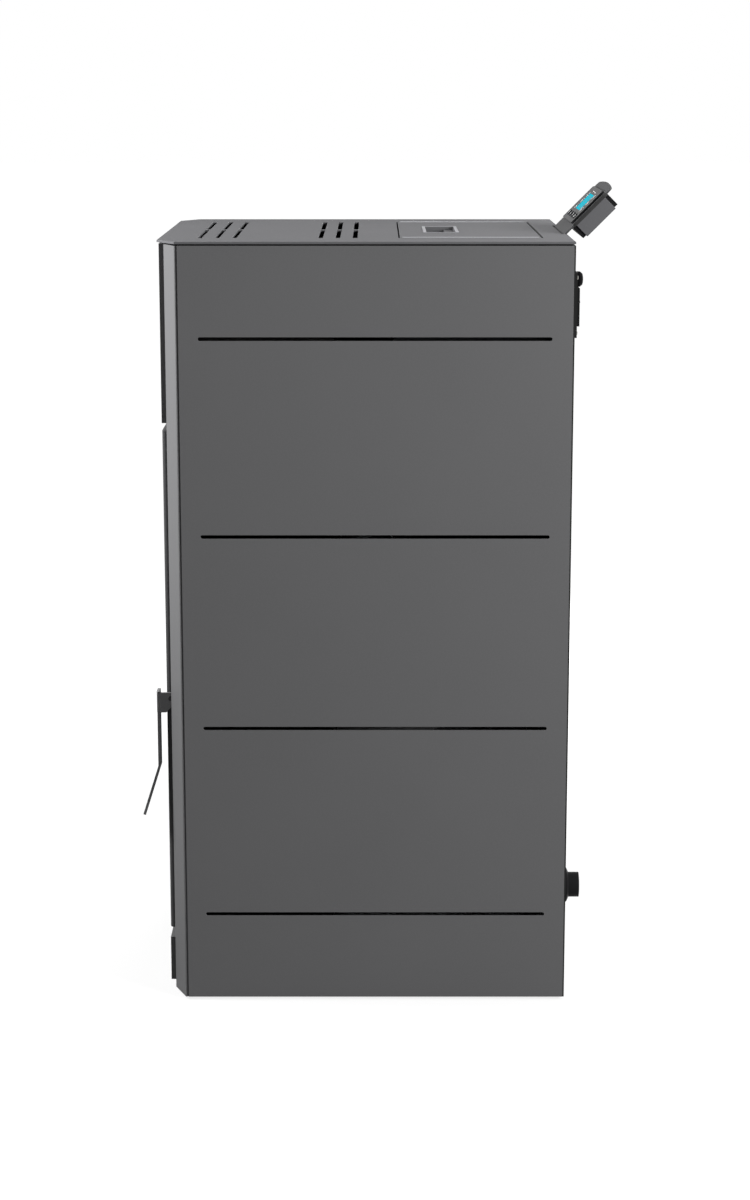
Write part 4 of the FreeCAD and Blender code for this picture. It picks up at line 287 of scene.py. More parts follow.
def die_casting(name, tint):
    """Die-cast aluminium, tumbled."""
    # Tumbling leaves a dull even grain with soft mottling.
    material, shader, place, add = new_material(name)
    grain = add("TexNoise", {"Vector": place, "Scale": per_mm(0.9), "Detail": 3.0})
    mottle = add("TexNoise", {"Vector": place, "Scale": per_mm(18), "Detail": 3.0})
    tone = add("Mix", {0: mottle.outputs["Fac"], 6: shade(tint, 0.85), 7: shade(tint, 1.08)},
               data_type="RGBA")
    bump = add("Bump", {"Height": grain.outputs["Fac"], "Strength": 0.35, "Distance": 0.08 * MM})
    set_inputs(shader, {"Base Color": tone.outputs[2], "Metallic": 1.0, "Roughness": 0.48,
                        "Normal": bump.outputs["Normal"]})
    return material


def sand_cast_iron(name, tint):
    """Grey iron cast in sand and left bare."""
    # Sand leaves coarse pits, and heat turns the skin a dry blue-black with patches of rust.
    material, shader, place, add = new_material(name)
    sand = add("TexNoise", {"Vector": place, "Scale": per_mm(1.4), "Detail": 5.0})
    scale = add("TexNoise", {"Vector": place, "Scale": per_mm(24), "Detail": 4.0})
    rust = add("MapRange", {"Value": scale.outputs["Fac"], "From Min": 0.55, "From Max": 0.8})
    tone = add("Mix", {0: rust.outputs["Result"], 6: shade(tint, 0.9), 7: shade(linear("#4a3a30"), 1.0)},
               data_type="RGBA")
    bump = add("Bump", {"Height": sand.outputs["Fac"], "Strength": 0.7, "Distance": 0.25 * MM})
    set_inputs(shader, {"Base Color": tone.outputs[2], "Metallic": 0.4, "Roughness": 0.68,
                        "Normal": bump.outputs["Normal"]})
    return material


def vermiculite_board(name, tint):
    """Exfoliated vermiculite pressed into board."""
    # Pressed flakes show as small light and dark golden plates, smoked grey in patches.
    material, shader, place, add = new_material(name)
    flake = add("TexVoronoi", {"Vector": place, "Scale": per_mm(4.5)})
    soot = add("TexNoise", {"Vector": place, "Scale": per_mm(170), "Detail": 4.0})
    tone = add("Mix", {0: flake.outputs["Color"], 6: shade(tint, 0.62), 7: shade(tint, 1.25)},
               data_type="RGBA")
    stain = add("MapRange", {"Value": soot.outputs["Fac"], "From Min": 0.5, "From Max": 0.85,
                             "To Max": 0.55})
    smoked = add("Mix", {0: stain.outputs["Result"], 6: tone.outputs[2], 7: shade(linear("#4b4239"), 1.0)},
                 data_type="RGBA")
    bump = add("Bump", {"Height": flake.outputs["Distance"], "Strength": 0.5, "Distance": 0.5 * MM})
    set_inputs(shader, {"Base Color": smoked.outputs[2], "Roughness": 0.85,
                        "Normal": bump.outputs["Normal"]})
    return material


def alumina(name, tint):
    """Sintered alumina with a ground skin."""
    # Sintered ceramic is chalky and finely grained, with faint heat stains.
    material, shader, place, add = new_material(name)
    grain = add("TexNoise", {"Vector": place, "Scale": per_mm(0.8), "Detail": 2.0})
    heat = add("TexNoise", {"Vector": place, "Scale": per_mm(30), "Detail": 2.0})
    tone = add("Mix", {0: heat.outputs["Fac"], 6: shade(tint, 0.8), 7: shade(tint, 1.05)}, data_type="RGBA")
    bump = add("Bump", {"Height": grain.outputs["Fac"], "Strength": 0.2, "Distance": 0.04 * MM})
    set_inputs(shader, {"Base Color": tone.outputs[2], "Roughness": 0.6, "Normal": bump.outputs["Normal"]})
    return material


def glass_ceramic(name, tint):
    """Smoked glass-ceramic, rolled and polished."""
    # Rolled glass is almost flat: reflections waver slightly, and a light film of ash dulls it in patches.
    material, shader, place, add = new_material(name)
    wave = add("TexNoise", {"Vector": place, "Scale": per_mm(55), "Detail": 1.0})
    film = add("TexNoise", {"Vector": place, "Scale": per_mm(110), "Detail": 5.0})
    rough = add("MapRange", {"Value": film.outputs["Fac"], "From Min": 0.4, "From Max": 0.8, "To Min": 0.0,
                             "To Max": 0.06})
    bump = add("Bump", {"Height": wave.outputs["Fac"], "Strength": 0.05, "Distance": 0.2 * MM})
    tone = add("Mix", {0: film.outputs["Fac"], 6: shade(tint, 1.1), 7: shade(tint, 0.9)}, data_type="RGBA")
    set_inputs(shader, {"Base Color": tone.outputs[2], "Roughness": rough.outputs["Result"], "IOR": 1.54,
                        "Transmission Weight": 1.0, "Normal": bump.outputs["Normal"]})
    return material


def fibre_rope(name, tint):
    """Glass-fibre yarn, braided and dyed."""
    # Each strand is a fuzzy bundle of fine filaments, with a painted highlight on its crown and painted
    # shade in the gaps.
    material, shader, place, add = new_material(name)
    crown_and_gap_shade = add("Attribute", {}, attribute_name="strand_height")
    fuzz = add("TexNoise", {"Vector": place, "Scale": per_mm(0.7), "Detail": 3.0})
    tone = add("Mix", {0: crown_and_gap_shade.outputs["Fac"], 6: shade(tint, 0.35), 7: shade(tint, 1.5)}, data_type="RGBA")
    bump = add("Bump", {"Height": fuzz.outputs["Fac"], "Strength": 0.6, "Distance": 0.15 * MM})
    set_inputs(shader, {"Base Color": tone.outputs[2], "Roughness": 0.8, "Sheen Weight": 0.25,
                        "Normal": bump.outputs["Normal"]})
    return material


def moulded_plastic(name, tint, roughness, grain_mm):
    """Plastic or rubber moulded in a spark-eroded tool."""
    # The tool's spark texture leaves a fine leathery grain that breaks up highlights.
    material, shader, place, add = new_material(name)
    spark = add("TexVoronoi", {"Vector": place, "Scale": per_mm(grain_mm)})
    flow = add("TexNoise", {"Vector": place, "Scale": per_mm(25), "Detail": 2.0})
    tone = add("Mix", {0: flow.outputs["Fac"], 6: shade(tint, 0.9), 7: shade(tint, 1.12)}, data_type="RGBA")
    bump = add("Bump", {"Height": spark.outputs["Distance"], "Strength": 0.3, "Distance": 0.05 * MM})
    set_inputs(shader, {"Base Color": tone.outputs[2], "Roughness": roughness, "Specular IOR Level": 0.06,
                        "Normal": bump.outputs["Normal"]})
    return material


def lit_display(name, tint):
    """Backlit liquid crystal behind a clear hard-coated sheet."""
    # The backlight glows through a fine dot grid, and not quite evenly.
    material, shader, place, add = new_material(name)
    # Real dots are about 0.3 mm apart, drawn at 1 mm so that they show.
    grid = add("TexVoronoi", {"Vector": place, "Scale": per_mm(1.0), "Randomness": 0.0},
               distance="CHEBYCHEV")
    glow = add("TexNoise", {"Vector": place, "Scale": per_mm(45), "Detail": 1.0})
    dots = add("MapRange", {"Value": grid.outputs["Distance"], "From Min": 0.35, "From Max": 0.5,
                            "To Min": 0.0, "To Max": 0.3})
    even = add("Mix", {0: glow.outputs["Fac"], 6: shade(tint, 0.92), 7: shade(tint, 1.06)},
               data_type="RGBA")
    lit = add("Mix", {0: dots.outputs["Result"], 6: even.outputs[2], 7: shade(tint, 0.6)}, data_type="RGBA")
    set_inputs(shader, {"Base Color": shade(linear("#193f45"), 1.0), "Roughness": 0.5,
                        "Specular IOR Level": 0.0, "Emission Color": lit.outputs[2],
                        "Emission Strength": 1.0})
    return material


def dull_rubber(name, tint):
    """Rubber, press moulded or extruded."""
    # Plain rubber is dull, and picks up pale dust.
    material, shader, place, add = new_material(name)
    dust = add("TexNoise", {"Vector": place, "Scale": per_mm(12), "Detail": 5.0})
    tone = add("Mix", {0: dust.outputs["Fac"], 6: shade(tint, 0.8), 7: shade(tint, 1.5)}, data_type="RGBA")
    bump = add("Bump", {"Height": dust.outputs["Fac"], "Strength": 0.3, "Distance": 0.1 * MM})
    set_inputs(shader, {"Base Color": tone.outputs[2], "Roughness": 0.82, "Normal": bump.outputs["Normal"]})
    return material


def printed_ink(name, tint):
    """Screen-printed enamel ink."""
    # Screen ink lies flat with a faint mesh grain and slightly uneven cover.
    material, shader, place, add = new_material(name)
    cover = add("TexNoise", {"Vector": place, "Scale": per_mm(1.5), "Detail": 2.0})
    tone = add("Mix", {0: cover.outputs["Fac"], 6: shade(tint, 0.85), 7: shade(tint, 1.05)},
               data_type="RGBA")
    bump = add("Bump", {"Height": cover.outputs["Fac"], "Strength": 0.2, "Distance": 0.02 * MM})
    set_inputs(shader, {"Base Color": tone.outputs[2], "Roughness": 0.45, "Normal": bump.outputs["Normal"]})
    return material


def zinc_screw(name):
    """Zinc-plated steel, passivated."""
    # Passivated plating is bright with a blue and straw tint that drifts across the heads.
    material, shader, place, add = new_material(name)
    film = add("TexNoise", {"Vector": place, "Scale": per_mm(6), "Detail": 2.0})
    tone = add("Mix", {0: film.outputs["Fac"], 6: shade(linear("#9fa6ae"), 1.0),
                       7: shade(linear("#b8b19c"), 1.0)},
               data_type="RGBA")
    set_inputs(shader, {"Base Color": tone.outputs[2], "Metallic": 1.0, "Roughness": 0.28})
    return material


def dress(finishes):
    """Gives each CAD node the finish of its record slot; the dictionary holds slot and material."""
    for node, slot in SLOT_OF_NODE.items():
        if slot in finishes:
            set_finish(node, finishes[slot])


def set_finish(node, material):
    """Gives one CAD node its finish."""
    mesh = frame["nodes"][node].data
    mesh.materials.clear()
    mesh.materials.append(material)


def shell(rings, start, end):
    """Points and faces of a closed form: rings of equal count joined in order, and a pole at each end."""
    rows, around = rings.shape[:2]
    points = np.concatenate([rings.reshape(-1, 3), [start, end]])
    row, column = np.meshgrid(np.arange(rows - 1), np.arange(around), indexing="ij")
    step = (column + 1) % around
    quads = np.stack([row * around + column, row * around + step, (row + 1) * around + step,
                      (row + 1) * around + column], axis=-1).reshape(-1, 4)
    edge = np.arange(around)
    after = (edge + 1) % around
    last = (rows - 1) * around
    first_fan = np.stack([np.full(around, rows * around), after, edge], axis=-1)
    last_fan = np.stack([np.full(around, rows * around + 1), last + edge, last + after], axis=-1)
    return points, quads.tolist() + first_fan.tolist() + last_fan.tolist()


def outward(points, faces):
    """The faces, turned round if the closed form's signed volume, summed over triangles, is negative."""
    fans = [[face[0], face[i], face[i + 1]] for face in faces for i in range(1, len(face) - 1)]
    a, b, c = np.moveaxis(points[np.array(fans)], 1, 0)
    volume = np.einsum("ij,ij->i", a, np.cross(b, c)).sum()
    return faces if volume > 0 else [face[::-1] for face in faces]


def make_piece(name, forms, material, body):
    """One object at the origin from several closed forms, smooth, riding on a body."""
    points, faces, base = [], [], 0
    for form_points, form_faces in forms:
        points.append(form_points)
        faces += [[base + corner for corner in face] for face in outward(form_points, form_faces)]
        base += len(form_points)
    mesh = bpy.data.meshes.new(name)
    mesh.from_pydata(np.concatenate(points).tolist(), [], faces)
    mesh.polygons.foreach_set("use_smooth", np.ones(len(mesh.polygons), bool))
    mesh.materials.append(material)
    mesh.update()
    piece = bpy.data.objects.new(name, mesh)
    bpy.context.scene.collection.objects.link(piece)
    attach(piece, body)
    return piece


def unit(way):
    """A direction of length one."""
    return way / np.linalg.norm(way)


def screw_head(centre, out, radius):
    """A pan head with a cross recess, from the share of the radius and the angle round the head.

    Its height falls as the square root of one minus the share squared, less the recess.
    """
    rise, recess, sunk = 0.45 * radius, 0.22 * radius, 0.1 * radius
    arm_reach, arm_width = 0.55, 0.13  # shares of the radius
    share, turn = np.meshgrid(np.linspace(0.06, 1, 18), np.linspace(0, 2 * np.pi, 48, endpoint=False),
                              indexing="ij")
    u, v = share * np.cos(turn), share * np.sin(turn)
    arm = np.minimum(np.maximum(np.abs(u) / arm_reach, np.abs(v) / arm_width),
                     np.maximum(np.abs(v) / arm_reach, np.abs(u) / arm_width))
    height = rise * np.sqrt(1.02 - share ** 2) - recess * np.clip((1.25 - arm) / 0.5, 0, 1)
    side = unit(np.cross(out, (0.3, 0.1, 0.95)))
    up = np.cross(out, side)
    head = centre + radius * (u[..., None] * side + v[..., None] * up) + height[..., None] * out
    skirt = head[-1] - (height[-1][:, None] + sunk) * out
    return shell(np.concatenate([head, skirt[None]]), centre + (rise - recess) * out, centre - sunk * out)


def screw_grid(columns, face, rows, radius):
    """Screw heads on a face that looks to the rear, one at each crossing of columns and rows."""
    rear = np.array([0.0, 1.0, 0.0])
    return [screw_head(np.array([x, face, z]), rear, radius) for x in columns for z in rows]


def flat_sign(outline, centre, across, up, half_thick):
    """A flat closed lens, from the angle round it and the fall from its front pole to its rear one.

    The radius is the outline's at that angle times the sine of the fall to the power 0.35, and the
    height is the half thickness times the cosine of the fall.
    """
    turn = np.linspace(0, 2 * np.pi, 64, endpoint=False)
    fall = np.linspace(0, np.pi, 9)[1:-1]
    spread = np.sin(fall)[:, None] ** 0.35 * outline(turn)[None]
    out = np.cross(across, up)
    points = (centre + (spread * np.cos(turn))[..., None] * across + (spread * np.sin(turn))[..., None] * up
              + (half_thick * np.cos(fall))[:, None, None] * out)
    return shell(points, centre + half_thick * out, centre - half_thick * out)


def swept_strip(start, end, wide, thick):
    """A strip: a superellipse of power four, its half widths given as vectors, swept from start to end."""
    turn = np.linspace(0, 2 * np.pi, 24, endpoint=False)
    u, v = (np.sign(wave) * np.abs(wave) ** 0.5 for wave in (np.cos(turn), np.sin(turn)))
    section = u[:, None] * wide + v[:, None] * thick
    share = np.linspace(0, 1, 12)[:, None, None]
    return shell(start + share * (end - start) + section, start, end)


def bar(half_width, half_height):
    """Outline of a bar: a superellipse of power eight."""
    return lambda turn: ((np.abs(np.cos(turn)) / half_width) ** 8
                         + (np.abs(np.sin(turn)) / half_height) ** 8) ** (-1 / 8)


def petals(radius, number, depth):
    """Outline of a flower: a circle whose radius swings with the cosine of the angle times the petals."""
    return lambda turn: radius * (1 - depth + depth * np.cos(number * (turn - np.pi / 2)))


def ring_sign(centre, across, up, radius, width, half_thick):
    """A flat ring: a torus whose tube is squashed against the face."""
    turn, tube = np.meshgrid(np.linspace(0, 2 * np.pi, 40, endpoint=False),
                             np.linspace(0, 2 * np.pi, 10, endpoint=False), indexing="ij")
    reach = radius + width / 2 * np.cos(tube)
    points = (centre + (reach * np.cos(turn))[..., None] * across + (reach * np.sin(turn))[..., None] * up
              + (half_thick * np.sin(tube))[..., None] * np.cross(across, up))
    return torus_faces(points)


def torus_faces(points):
    """Points and faces of a grid that closes on itself both ways."""
    rows, columns = points.shape[:2]
    row, column = np.meshgrid(np.arange(rows), np.arange(columns), indexing="ij")
    after, step = (row + 1) % rows, (column + 1) % columns
    quads = np.stack([row * columns + column, after * columns + column, after * columns + step,
                      row * columns + step], axis=-1).reshape(-1, 4)
    return points.reshape(-1, 3), quads.tolist()


def on_slope(x, along, out):
    """A point of the console from its place across, up the slope and out of its face."""
    return np.array([x, (along - out) * math.cos(SLOPE), (along + out) * math.sin(SLOPE)])


def slope_box(node):
    """Spans of a console node across, up the slope and out of its face."""
    mesh = frame["nodes"][node].data
    place = np.empty(len(mesh.vertices) * 3)
    mesh.vertices.foreach_get("co", place)
    x, y, z = place.reshape(-1, 3).T
    along, out = (y + z) * math.cos(SLOPE), (z - y) * math.sin(SLOPE)
    return [(axis.min(), axis.max()) for axis in (x, along, out)]


def console_sign(outline, spot, half_thick):
    """A flat sign that lies on the console's slope."""
    return flat_sign(outline, spot, SLOPE_ACROSS, SLOPE_UP, half_thick)


def console_ring(spot, radius, width, half_thick):
    """A flat ring that lies on the console's slope."""
    return ring_sign(spot, SLOPE_ACROSS, SLOPE_UP, radius, width, half_thick)


class STOVE_OT_casing(Operator):
    """Powder coat on the casing, top, door and handle."""
    bl_idname = "stove.casing"
    bl_label = "Casing finish"

    def execute(self, context):
        finish = context.scene.stove_finish
        dress({
            "casing_steel": powder_coat("Powder-coated steel, casing", finish.casing, 0.55, 0.3),
            "top_steel": powder_coat("Powder-coated steel, top", finish.top, 0.6, 0.6),
            "door_steel": powder_coat("Powder-coated steel, door", finish.door, 0.45, 0.8),
            "handle_steel": powder_coat("Powder-coated steel, handle", finish.handle, 0.42, 1.0),
        })
        set_finish("console_plate", powder_coat("Powder-coated steel, console", finish.console, 0.6, 0.6))
        # The beads on the lid and the pull's rim rise above this height and get a painted highlight.
        bead_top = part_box("hopper_lid")[1].z
        lid_coat = powder_coat("Powder-coated steel, lid", finish.top, 0.6, 0.6, bead_top - 1 * MM, 3.0)
        for node in ("hopper_lid", "lid_pull"):
            set_finish(node, lid_coat)
        return {"FINISHED"}


class STOVE_OT_fire(Operator):
    """Paint, iron, board, ceramic and glass round the fire."""
    bl_idname = "stove.fire"
    bl_label = "Fire finish"

    def execute(self, context):
        finish = context.scene.stove_finish
        black = stove_paint("Silicone stove paint, sprayed", finish.stove_black)
        # The lid's long hinge is painted black, so that it lies in the seam like a shadow.
        for node in ("lid_hinge_pin", "lid_hinge_leaf"):
            set_finish(node, black)
        dress({
            "black_steel": black,
            "cast_iron": sand_cast_iron("Grey iron, sand cast", finish.iron),
            "vermiculite_board": vermiculite_board("Vermiculite board, pressed", finish.board),
            "igniter_ceramic": alumina("Alumina, sintered", finish.ceramic),
            "door_glass": glass_ceramic("Glass-ceramic, smoked and rolled", finish.glass),
        })
        return {"FINISHED"}


class STOVE_OT_machinery(Operator):
    """Zinc, stainless and castings of the feed, fans and ducts."""
    bl_idname = "stove.machinery"
    bl_label = "Machinery finish"

    def execute(self, context):
        finish = context.scene.stove_finish
        dress({
            "galvanised_steel": galvanised_sheet("Steel sheet, hot-dip galvanised", finish.zinc),
            "stainless_steel": brushed_stainless("Stainless steel, belt brushed", finish.stainless),
            "motor_casting": die_casting("Aluminium, die cast and tumbled", finish.casting),
        })
        # The hopper's zinc is darkened to a dark grey as painted shade, for the hopper seen in shade
        # through the casing's slots.
        set_finish("hopper", galvanised_sheet("Steel sheet, galvanised, darkened for painted shade", finish.hopper))
        return {"FINISHED"}


class STOVE_OT_fittings(Operator):
    """Plastics, display and feet."""
    bl_idname = "stove.fittings"
    bl_label = "Fittings finish"

    def execute(self, context):
        finish = context.scene.stove_finish
        dress({
            "black_plastic": moulded_plastic("ABS, moulded black", finish.plastic, 0.5, 0.9),
            "key_plastic": moulded_plastic("Silicone rubber, moulded keys", finish.key, 0.6, 0.6),
            "bezel_plastic": moulded_plastic("ABS, moulded display front", finish.bezel, 0.42, 0.7),
            "lcd_glass": lit_display("Liquid crystal, backlit", finish.screen),
            "foot_rubber": dull_rubber("Nitrile rubber, pressed", finish.rubber),
        })
        set_finish("thermostat_cap", moulded_plastic("Phenolic resin, moulded cap", finish.cap, 0.5, 0.9))
        return {"FINISHED"}


class STOVE_OT_rope(Operator):
    """Braided rope seal round the back of the door."""
    bl_idname = "stove.rope"
    bl_label = "Rope seal"

    def execute(self, context):
        sizes = context.scene.stove_sizes
        low, high = (np.array(corner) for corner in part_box("door_rope_seal"))
        centre, half = (low + high) / 2, (high - low) / 2
        wide, thick = sizes.rope_width, half[1]
        step = sizes.strand / 7  # seven rings of points to each strand
        path, normal, travel = rounded_loop(half[0] - wide, half[2] - wide, sizes.rope_corner, step)
        turn = np.linspace(0, 2 * np.pi, 28, endpoint=False)
        # Two sets of strands wind opposite ways; the braid's height at a point is the higher of the two.
        lead = 2 * np.pi * travel[:, None] / sizes.strand
        waves = [np.cos(sizes.strand_count * turn[None] / 2 + hand * lead / 2) ** 2 for hand in (1, -1)]
        height = np.maximum(*waves)
        grow = 1 - sizes.strand_depth / thick * (1 - height)
        points = path[:, None] + normal[:, None] * (wide * np.cos(turn)[None] * grow)[..., None]
        points[..., 1] += thick * np.sin(turn)[None] * grow
        points += centre
        fibre = fibre_rope("Glass-fibre rope, braided", context.scene.stove_finish.rope)
        rope = make_piece("door_rope_braid", [torus_faces(points)], fibre, "door")
        # The strands' height also paints the crowns lighter and the gaps darker, as painted highlight and
        # painted shade.
        strand = rope.data.attributes.new("strand_height", "FLOAT", "POINT")
        strand.data.foreach_set("value", height.ravel().astype(np.float32))
        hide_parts("door_rope_seal")
        return {"FINISHED"}


def rounded_loop(half_width, half_height, corner, step):
    """A rectangle with round corners in X and Z: four straights, each followed by a quarter circle.

    Gives the points, the outward normals and the distance travelled, about one step apart.
    """
    inner = np.array([half_width - corner, half_height - corner])
    centres = inner * np.array([[1, 1], [-1, 1], [-1, -1], [1, -1]])
    arcs = []
    for quarter, middle in enumerate(centres):
        turn = np.linspace(0, np.pi / 2, 12) + quarter * np.pi / 2
        direction = np.stack([np.cos(turn), np.sin(turn)], axis=-1)
        arcs.append((middle + corner * direction, direction))
    corners = np.concatenate([arc for arc, _ in arcs] + [arcs[0][0][:1]])
    facing = np.concatenate([direction for _, direction in arcs] + [arcs[0][1][:1]])
    lengths = np.concatenate([[0], np.cumsum(np.linalg.norm(np.diff(corners, axis=0), axis=1))])
    travel = np.linspace(0, lengths[-1], int(lengths[-1] / step), endpoint=False)
    flat = [np.interp(travel, lengths, corners[:, axis]) for axis in (0, 1)]
    out = np.stack([np.interp(travel, lengths, facing[:, axis]) for axis in (0, 1)], axis=-1)
    out /= np.linalg.norm(out, axis=1, keepdims=True)
    zero = np.zeros_like(travel)
    path = np.stack([flat[0], zero, flat[1]], axis=-1)
    return path, np.stack([out[:, 0], zero, out[:, 1]], axis=-1), travel


class STOVE_OT_screws(Operator):
    """Screws of the rear panel, the inlet plate and the glass clips."""
    bl_idname = "stove.screws"
    bl_label = "Screws"

    def execute(self, context):
        sizes = context.scene.stove_sizes
        plated = zinc_screw("Steel screw, zinc plated")
        low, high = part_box("rear_panel")
        sides = (sizes.screw_inset - high.x, high.x - sizes.screw_inset)
        rows = np.linspace(low.z + sizes.screw_foot, high.z - sizes.screw_top, sizes.screw_rows)
        heads = screw_grid(sides, high.y, rows, sizes.screw)
        low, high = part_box("inlet_bracket")
        sides = (low.x + sizes.inlet_inset, high.x - sizes.inlet_inset)
        ends = (low.z + sizes.inlet_rise, high.z - sizes.inlet_rise)
        heads += screw_grid(sides, high.y, ends, sizes.small_screw)
        make_piece("rear_screws", heads, plated, "casing")
        low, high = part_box("glass_clips")
        sides = (sizes.clip_inset - high.x, high.x - sizes.clip_inset)
        ends = (low.z + sizes.clip_rise, high.z - sizes.clip_rise)
        heads = screw_grid(sides, high.y, ends, sizes.small_screw)
        make_piece("clip_screws", heads, plated, "door")
        return {"FINISHED"}


class STOVE_OT_display(Operator):
    """Signs printed beside the display, and the segments that it shows."""
    bl_idname = "stove.display"
    bl_label = "Display signs"

    def execute(self, context):
        sizes, finish = context.scene.stove_sizes, context.scene.stove_finish
        thick, half = sizes.print_height, sizes.sign
        _, _, (_, face) = slope_box("display_bezel")
        (left, right), (low, high), (_, glass) = slope_box("lcd_window")
        # A column of ringed signs stands on each side of the window, and three dashes lie above it.
        beside, above = 3.4 * half, 1.6 * half
        ring, line = 1.5 * half, 0.25 * half
        shapes = (petals(half, 3, 0.45), petals(half, 5, 0.3), bar(0.35 * half, half))
        signs = []
        for x in (left - beside, right + beside):
            for along, outline in zip(np.linspace(low + half, high - half, len(shapes)), shapes):
                spot = on_slope(x, along, face)
                signs += [console_sign(outline, spot, thick), console_ring(spot, ring, line, thick)]
        dash = bar(1.3 * half, 0.3 * half)
        for x in (left / 2, 0, right / 2):
            signs.append(console_sign(dash, on_slope(x, high + above, face), thick))
        white = printed_ink("Enamel ink, screen printed", finish.print_white)
        make_piece("display_signs", signs, white, "casing")
        # Two digits stand about the window's middle, with five level bars up its right side.
        shift, digit_half, level_x = 0.3 * right, 0.36 * (high - low), 0.78 * right
        segments = []
        for x, lit in ((-shift, "abged"), (shift, "abcdef")):
            segments += digit_segments(x, (low + high) / 2, glass, digit_half, lit, thick / 2)
        level = bar(0.7 * half, 0.35 * half)
        steps = low + half * (10 + 11 * np.arange(5)) / 7
        segments += [console_sign(level, on_slope(level_x, along, glass), thick / 2) for along in steps]
        dark = printed_ink("Liquid crystal, dark segments", finish.segment)
        make_piece("display_segments", segments, dark, "casing")
        return {"FINISHED"}


class STOVE_OT_shadow_strip(Operator):
    """Black rubber strips on the two sides of the console's plate, beside the display, that paint the
    shadow under the plate's edge.
    """
    bl_idname = "stove.trim"
    bl_label = "Shadow strip"

    def execute(self, context):
        sizes = context.scene.stove_sizes
        # The black strips are painted shadow: they darken the gap between the plate's edge and the
        # display's box.
        edges, _, (back, _) = slope_box("console_plate")
        _, (low, high), (seat, _) = slope_box("display_bezel")
        middle = (back + seat) / 2
        wide, thick = SLOPE_OUT * sizes.shadow_strip, SLOPE_ACROSS * sizes.shadow_strip_sheet
        shadow_strips = [swept_strip(on_slope(x, low, middle), on_slope(x, high, middle), wide, thick)
                 for x in edges]
        rubber = dull_rubber("Black rubber, painted shadow strip", context.scene.stove_finish.rubber)
        make_piece("console_shadow_strip", shadow_strips, rubber, "casing")
        return {"FINISHED"}


def digit_segments(x, along, out, half_height, lit, thick):
    """The lit bars of a seven-segment digit, named a to g clockwise from the top with g in the middle."""
    half_width = 0.5 * half_height
    stroke = 0.09 * half_height
    upright, flat = bar(stroke, half_height * 0.42), bar(half_width * 0.84, stroke)
    places = {
        "a": (0, 1, flat), "b": (1, 0.5, upright), "c": (1, -0.5, upright), "d": (0, -1, flat),
        "e": (-1, -0.5, upright), "f": (-1, 0.5, upright), "g": (0, 0, flat),
    }
    segments = []
    for name in lit:
        right, up, outline = places[name]
        spot = on_slope(x + right * half_width, along + up * half_height, out)
        segments.append(console_sign(outline, spot, thick))
    return segments


class STOVE_OT_keys(Operator):
    """Signs printed on the four keys: power, minus, plus and three lines."""
    bl_idname = "stove.keys"
    bl_label = "Key signs"

    def execute(self, context):
        sizes = context.scene.stove_sizes
        white = printed_ink("Enamel ink, printed keys", context.scene.stove_finish.print_white)
        thick, half = sizes.print_height, 0.9 * sizes.sign
        flat, upright, stem = bar(half, 0.2 * half), bar(0.2 * half, half), bar(0.15 * half, 0.5 * half)
        for number in range(1, 5):
            across, along, (_, face) = slope_box(f"console_key_{number}")
            spot = on_slope(np.mean(across), np.mean(along), face)
            if number == 1:
                signs = [console_ring(spot, 0.8 * half, 0.3 * half, thick),
                         console_sign(stem, spot + 0.5 * half * SLOPE_UP, thick)]
            else:
                signs = [console_sign(flat, spot, thick)]
            if number == 3:
                signs.append(console_sign(upright, spot, thick))
            if number == 4:
                signs += [console_sign(flat, spot + side * 0.7 * half * SLOPE_UP, thick)
                          for side in (-1, 1)]
            make_piece(f"key_sign_{number}", signs, white, f"key_{number}")
        return {"FINISHED"}


class STOVE_OT_rocker(Operator):
    """On and off signs of the rocker switch."""
    bl_idname = "stove.rocker"
    bl_label = "Rocker signs"

    def execute(self, context):
        thick = context.scene.stove_sizes.print_height
        low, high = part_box("rocker_switch")
        # The face falls from its raised foot to a crease half way up, and less steeply to its head.
        crease, fall = 1.333 * MM, 1.6 * MM
        x = (low.x + high.x) / 2
        foot = np.array([x, high.y, low.z])
        middle = np.array([x, high.y - crease, (low.z + high.z) / 2])
        head = np.array([x, high.y - fall, high.z])
        across = np.array([-1.0, 0.0, 0.0])
        stroke = bar(0.3 * MM, 1.6 * MM)
        radius, width = 1.5 * MM, 0.5 * MM
        signs = [flat_sign(stroke, (head + middle) / 2, across, unit(head - middle), thick),
                 ring_sign((foot + middle) / 2, across, unit(middle - foot), radius, width, thick)]
        ink = printed_ink("Enamel ink, printed rocker", context.scene.stove_finish.print_white)
        make_piece("rocker_signs", signs, ink, "rocker")
        return {"FINISHED"}


class STOVE_OT_cap(Operator):
    """Grip ribs round the thermostat's cap."""
    bl_idname = "stove.cap"
    bl_label = "Cap ribs"

    def execute(self, context):
        low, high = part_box("thermostat_cap")
        centre = (low + high) / 2
        rib, half_thick, sunk, rise = bar(0.45 * MM, 2.3 * MM), 0.5 * MM, 0.15 * MM, 2.6 * MM
        radius = (high.x - low.x) / 2 - sunk
        rear = np.array([0.0, 1.0, 0.0])
        ribs = []
        for turn in np.linspace(0, 2 * np.pi, context.scene.stove_sizes.ribs, endpoint=False):
            spot = np.array([centre.x + radius * math.cos(turn), low.y + rise,
                             centre.z + radius * math.sin(turn)])
            along = np.array([-math.sin(turn), 0.0, math.cos(turn)])
            ribs.append(flat_sign(rib, spot, along, rear, half_thick))
        resin = moulded_plastic("Phenolic resin, moulded grip", context.scene.stove_finish.cap, 0.5, 0.9)
        make_piece("cap_ribs", ribs, resin, "casing")
        return {"FINISHED"}


